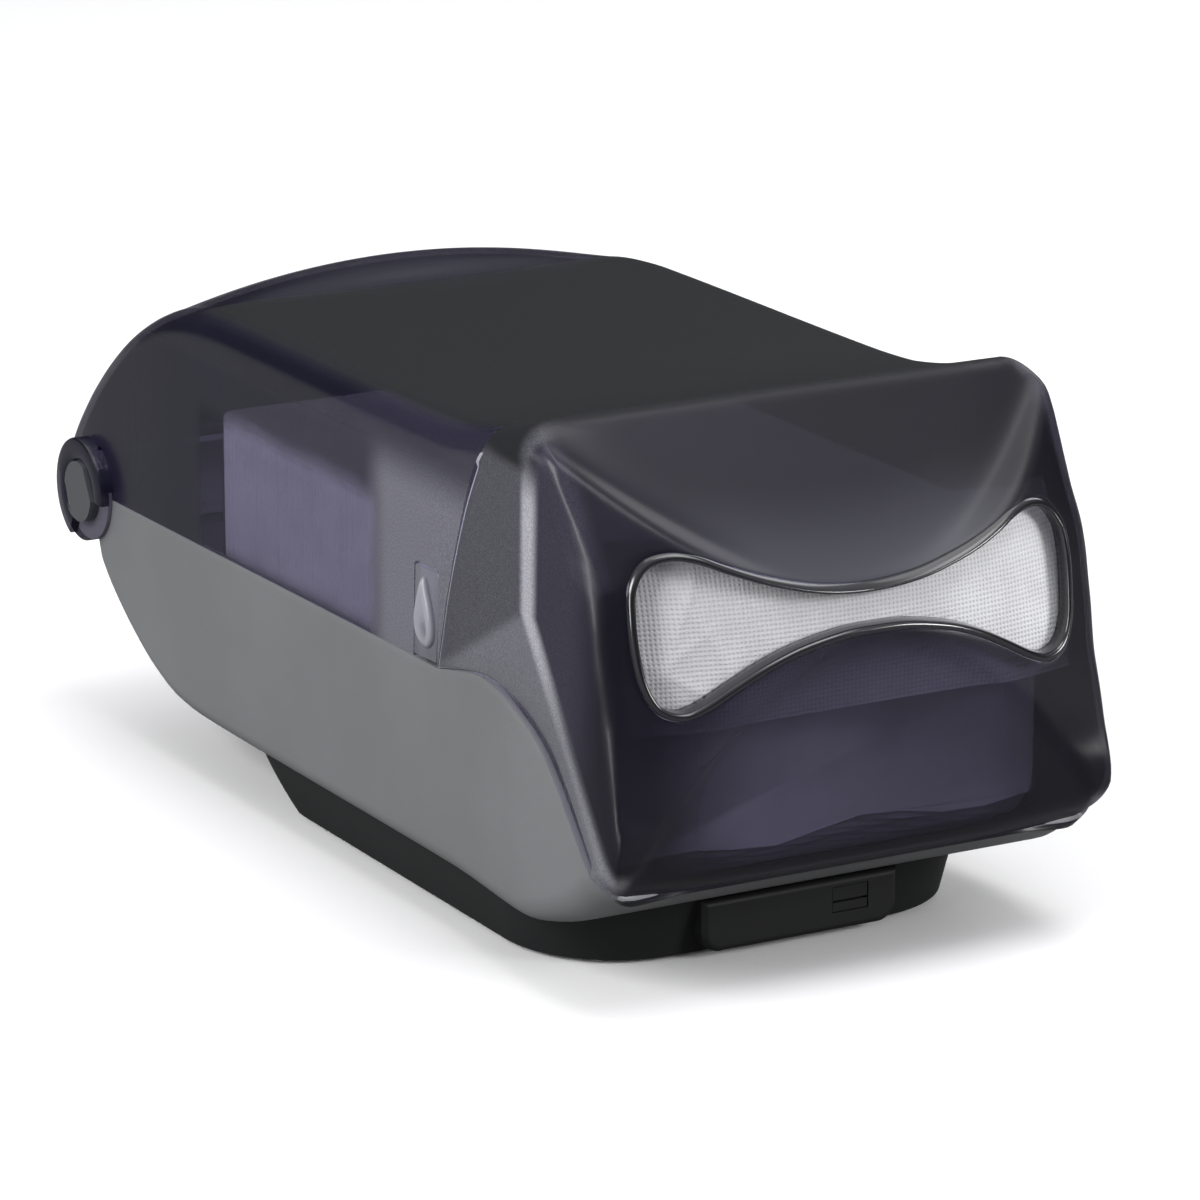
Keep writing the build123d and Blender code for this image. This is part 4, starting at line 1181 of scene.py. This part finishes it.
def napkin_pile():
    rng = np.random.default_rng(11)
    pitch = (STACK_REAR - STACK_FRONT) / LAYERS
    rows = []
    drift = 0.0
    for layer in range(LAYERS):
        drift = 0.8 * drift + rng.normal(0, 0.12)
        shift_x = float(np.clip(drift + rng.normal(0, 0.10), -0.5, 0.5))
        shift_z = float(rng.normal(0, 0.16))
        for place, grow in FOLD:
            y = STACK_FRONT + pitch * (layer + place)
            chin = max(0.0, (-100.0 - y) * 0.63)
            section = stack_section(shift_x, shift_z, grow, chin)
            if chin > 0:
                section = [(x, z + sag(x, z, layer, chin)) for x, z in section]
            rows.append([(x, y, z) for x, z in section])
    rows = np.array(rows)
    # loose waves along the folded edges
    x, y, z = rows.transpose(2, 0, 1)
    rows[..., 1] = y + 0.35 * np.sin(x / 17.0 + y / 9.0) * np.sin(z / 23.0)
    count, n = rows.shape[:2]
    faces = grid_faces(count, n, wrap=True)
    faces += [tuple(range(n)), tuple(reversed(range((count - 1) * n, count * n)))]
    return add_mesh("napkin_pile", rows.reshape(-1, 3), faces, M_STACK, "housing",
                    "napkin_paper", outward=(0, 0, 80))


stack = napkin_pile()

# ---------------------------------------------------------------- leading napkin
# x, z, direction in degrees, width, depth
CREASES = [(-62, 128, 68, 2.2, 1.25), (-52, 118, 118, 2.0, 1.1), (-70, 112, 35, 2.2, 0.95),
           (-44, 122, 82, 4.0, 0.35), (-60, 106, 150, 2.0, 0.9), (56, 126, 75, 4.5, 0.35),
           (66, 112, 120, 4.0, 0.35), (10, 126, 96, 6.0, 0.15)]


def creased(x, z):
    total = 0.0
    for centre_x, centre_z, direction, width, depth in CREASES:
        angle = math.radians(direction)
        across = (x - centre_x) * math.sin(angle) - (z - centre_z) * math.cos(angle)
        lengthwise = (x - centre_x) * math.cos(angle) + (z - centre_z) * math.sin(angle)
        total = total - depth * np.exp(-np.abs(across) / width) * np.exp(-(lengthwise / 17.0) ** 2)
    return total


# a creased sheet that follows the front from behind and fills the opening
x, z = np.meshgrid(np.linspace(-80.5, 80.5, 150), np.linspace(92.6, 151.4, 66))
front_y = face_y(x, z)
y = front_y + 6.6 + creased(x, z) + 0.5 * np.sin(x / 21.0 + 1.0) * np.sin(z / 13.0)
y = np.clip(y, front_y + 5.3, front_y + 7.6)
lead = add_grid("lead_napkin_sheet", np.stack([x, y, z], 2), M_NAPKIN, "housing",
                "napkin_paper", outward=(0, 0, 120))
finish_mesh(lead, wall=0.5, angle=60)

# ---------------------------------------------------------------- pusher springs
# a coil that travels with the pusher, and a strip held by the housing
STRIP_FRONT, COIL_Y = -118.0, 155.0
# (x, z) section of the right strip
STRIP = [(84.22, 40.5), (84.62, 40.5), (84.62, 51.5), (84.22, 51.5)]


def spring_coil(side, tag):
    turns, per_turn = 4, 36
    last = turns * per_turn
    verts = []
    for i in range(last + 1):
        angle = 2 * math.pi * i / per_turn
        inner = 9.75 + (12.05 - 9.75) * i / last
        for thickness in (0.0, 0.22):
            radius = inner + thickness
            for z in (40.6, 51.4):
                verts.append((side * (72.4 + radius * math.cos(angle)),
                              COIL_Y + radius * math.sin(angle), z))
    faces = []
    for i in range(last):
        p, q = i * 4, (i + 1) * 4
        faces += [(p, q, q + 1, p + 1), (p + 2, p + 3, q + 3, q + 2), (p, p + 2, q + 2, q),
                  (p + 1, q + 1, q + 3, p + 3)]
    return add_mesh("spring_coil_" + tag, verts, faces, M_SPRING, "pusher", "spring_steel")


def spring_strip(side, tag):
    verts = [(side * x, y, z) for y in np.linspace(STRIP_FRONT, 154.0, 40) for x, z in STRIP]
    faces = grid_faces(40, 4, wrap=True) + [(0, 1, 2, 3), (156, 159, 158, 157)]
    strip = add_mesh("spring_strip_" + tag, verts, faces, M_SPRING, "housing", "spring_steel")
    finish_mesh(strip, edge=0.08, angle=60)
    return strip


springs = {tag: (spring_coil(side, tag), spring_strip(side, tag)) for side, tag in SIDES}

# ---------------------------------------------------------------- base catch spring
low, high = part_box("base_catch_spring")
CATCH_X, CATCH_Z = (low.x + high.x) / 2 / MM, (low.z + high.z) / 2 / MM
CATCH_RADIUS = (high.x - low.x) / 2 / MM
CATCH_FRONT, CATCH_REAR = (low.y - SHIFT) / MM, (high.y - SHIFT) / MM


def catch_spring():
    wire, turns, per_turn, around = 0.24, 6, 24, 8
    last = turns * per_turn
    verts = []
    for i in range(last + 1):
        angle = 2 * math.pi * i / per_turn
        y = CATCH_FRONT + wire + (CATCH_REAR - CATCH_FRONT - 2 * wire) * i / last
        for k in range(around):
            turn = math.pi / 4 * k
            radius = CATCH_RADIUS - wire + wire * math.cos(turn)
            verts.append((CATCH_X + radius * math.cos(angle), y + wire * math.sin(turn),
                          CATCH_Z + radius * math.sin(angle)))
    faces = grid_faces(last + 1, around, wrap=True)
    faces += [tuple(range(around)), tuple(last * around + k for k in reversed(range(around)))]
    return add_mesh("catch_spring_coil", verts, faces, M_SPRING, "housing", "spring_steel")


catch_coil = catch_spring()

# ---------------------------------------------------------------- bodies and replaced nodes
for obj in [o for o in scene.objects if o.get("want_body")]:
    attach(obj, obj["want_body"])
for obj, node in ((cover, "cover_shell"), (face, "faceplate"), (rim, "opening_rim"),
                  (body, "lower_body"), (latch_plates["left"], "latch_left"),
                  (latch_plates["right"], "latch_right"), (stack, "napkin_stack"),
                  (lead, "lead_napkin"), (catch_coil, "base_catch_spring")):
    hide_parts(node)
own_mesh(catch_coil)
for tag, (coil, strip) in springs.items():
    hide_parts("pusher_spring_" + tag)
    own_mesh(strip)
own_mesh(stack)


# ---------------------------------------------------------------- floor, lights, world, camera
def floor_material():
    """Pale to the camera, dim in reflections and bounced light."""
    mat = Shader("pale_floor")
    pale = mat.mix(mat.noise(scale=3.0, detail=4.0), (0.93, 0.93, 0.935, 1), (0.95, 0.95, 0.95, 1))
    colour = mat.mix(mat.camera_ray(), (0.22, 0.22, 0.22, 1), pale)
    return mat.finish(mat.node("BsdfPrincipled", {"Base Color": colour, "Roughness": 0.9,
                                                  "Specular IOR Level": 0.1}))


def add_floor(half=14.0):
    mesh = bpy.data.meshes.new("floor")
    mesh.from_pydata([(-half, -half, 0), (half, -half, 0), (half, half, 0), (-half, half, 0)],
                     [], [(0, 1, 2, 3)])
    floor = bpy.data.objects.new("floor", mesh)
    scene.collection.objects.link(floor)
    mesh.materials.append(floor_material())


# name, place, target, width, height, power in watts
LIGHTS = [
    ("key_left", (-2.4, -0.6, 1.7), (0, -0.05, 0.1), 1.1, 1.1, 50),
    ("side_left", (-2.5, -1.0, 0.6), (0, -0.05, 0.1), 0.5, 1.0, 18),
    ("side_rear", (-2.4, 1.2, 0.9), (0, 0.1, 0.08), 1.0, 1.0, 12),
    ("fill_right", (2.2, -2.4, 1.2), (0, -0.15, 0.1), 1.0, 1.0, 66),
    ("top_front", (0.3, -0.9, 2.9), (0, -0.1, 0.12), 1.6, 1.6, 30),
    ("top_soft", (0.2, 0.5, 2.8), (0, 0, 0.1), 2.2, 2.2, 20),
    ("back_right", (2.4, 1.4, 1.8), (0, 0, 0.1), 1.2, 1.2, 10),
]


def add_lights():
    for name, place, target, width, height, power in LIGHTS:
        light = bpy.data.lights.new(name, "AREA")
        light.energy = power
        light.shape = "RECTANGLE"
        light.size = width
        light.size_y = height
        obj = bpy.data.objects.new(name, light)
        obj.location = place
        obj.rotation_mode = "QUATERNION"
        aim = Vector(target) - Vector(place)
        obj.rotation_quaternion = aim.to_track_quat("-Z", "Y")
        scene.collection.objects.link(obj)


def add_world():
    world = bpy.data.worlds.new("studio")
    scene.world = world
    world.use_nodes = True
    tree = world.node_tree
    tree.nodes.clear()
    rays = add_node(tree, "LightPath").outputs
    # white surround behind the object, dimmer for the light it gives
    plain = add_node(tree, "Math", {0: rays["Is Camera Ray"], 1: 0.62, 2: 0.40},
                     operation="MULTIPLY_ADD")
    # reflections see a surround that brightens overhead
    coords = add_node(tree, "TexCoord").outputs["Generated"]
    height = add_node(tree, "SeparateXYZ", {0: coords}).outputs[2]
    overhead = add_node(tree, "MapRange", {"Value": height, "From Min": 0.25, "From Max": 0.95,
                                           "To Min": 0.03, "To Max": 0.60},
                        interpolation_type="SMOOTHSTEP")
    strength = add_node(tree, "Mix", {0: rays["Is Glossy Ray"], 2: plain.outputs[0],
                                      3: overhead.outputs[0]})
    background = add_node(tree, "Background", {0: (0.97, 0.975, 0.99, 1),
                                               1: strength.outputs[0]})
    add_node(tree, "OutputWorld", {0: background.outputs[0]})


def add_camera():
    """Long lens from the front left, looking slightly down."""
    lens = bpy.data.cameras.new("camera")
    lens.lens = 182.28
    lens.sensor_width = 36.0
    lens.sensor_fit = "HORIZONTAL"
    lens.clip_start = 0.05
    lens.clip_end = 50
    camera = bpy.data.objects.new("camera", lens)
    scene.collection.objects.link(camera)
    right = (0.87275, -0.48817, 0.0)
    up = (0.13525, 0.24180, 0.96085)
    back = (-0.46906, -0.83858, 0.27706)
    place = (-0.95814, -1.69678 + SHIFT, 0.65040)
    camera.matrix_world = Matrix((*zip(right, up, back, place), (0, 0, 0, 1)))
    scene.camera = camera


add_floor()
add_lights()
add_world()
add_camera()
scene.view_settings.view_transform = "Standard"
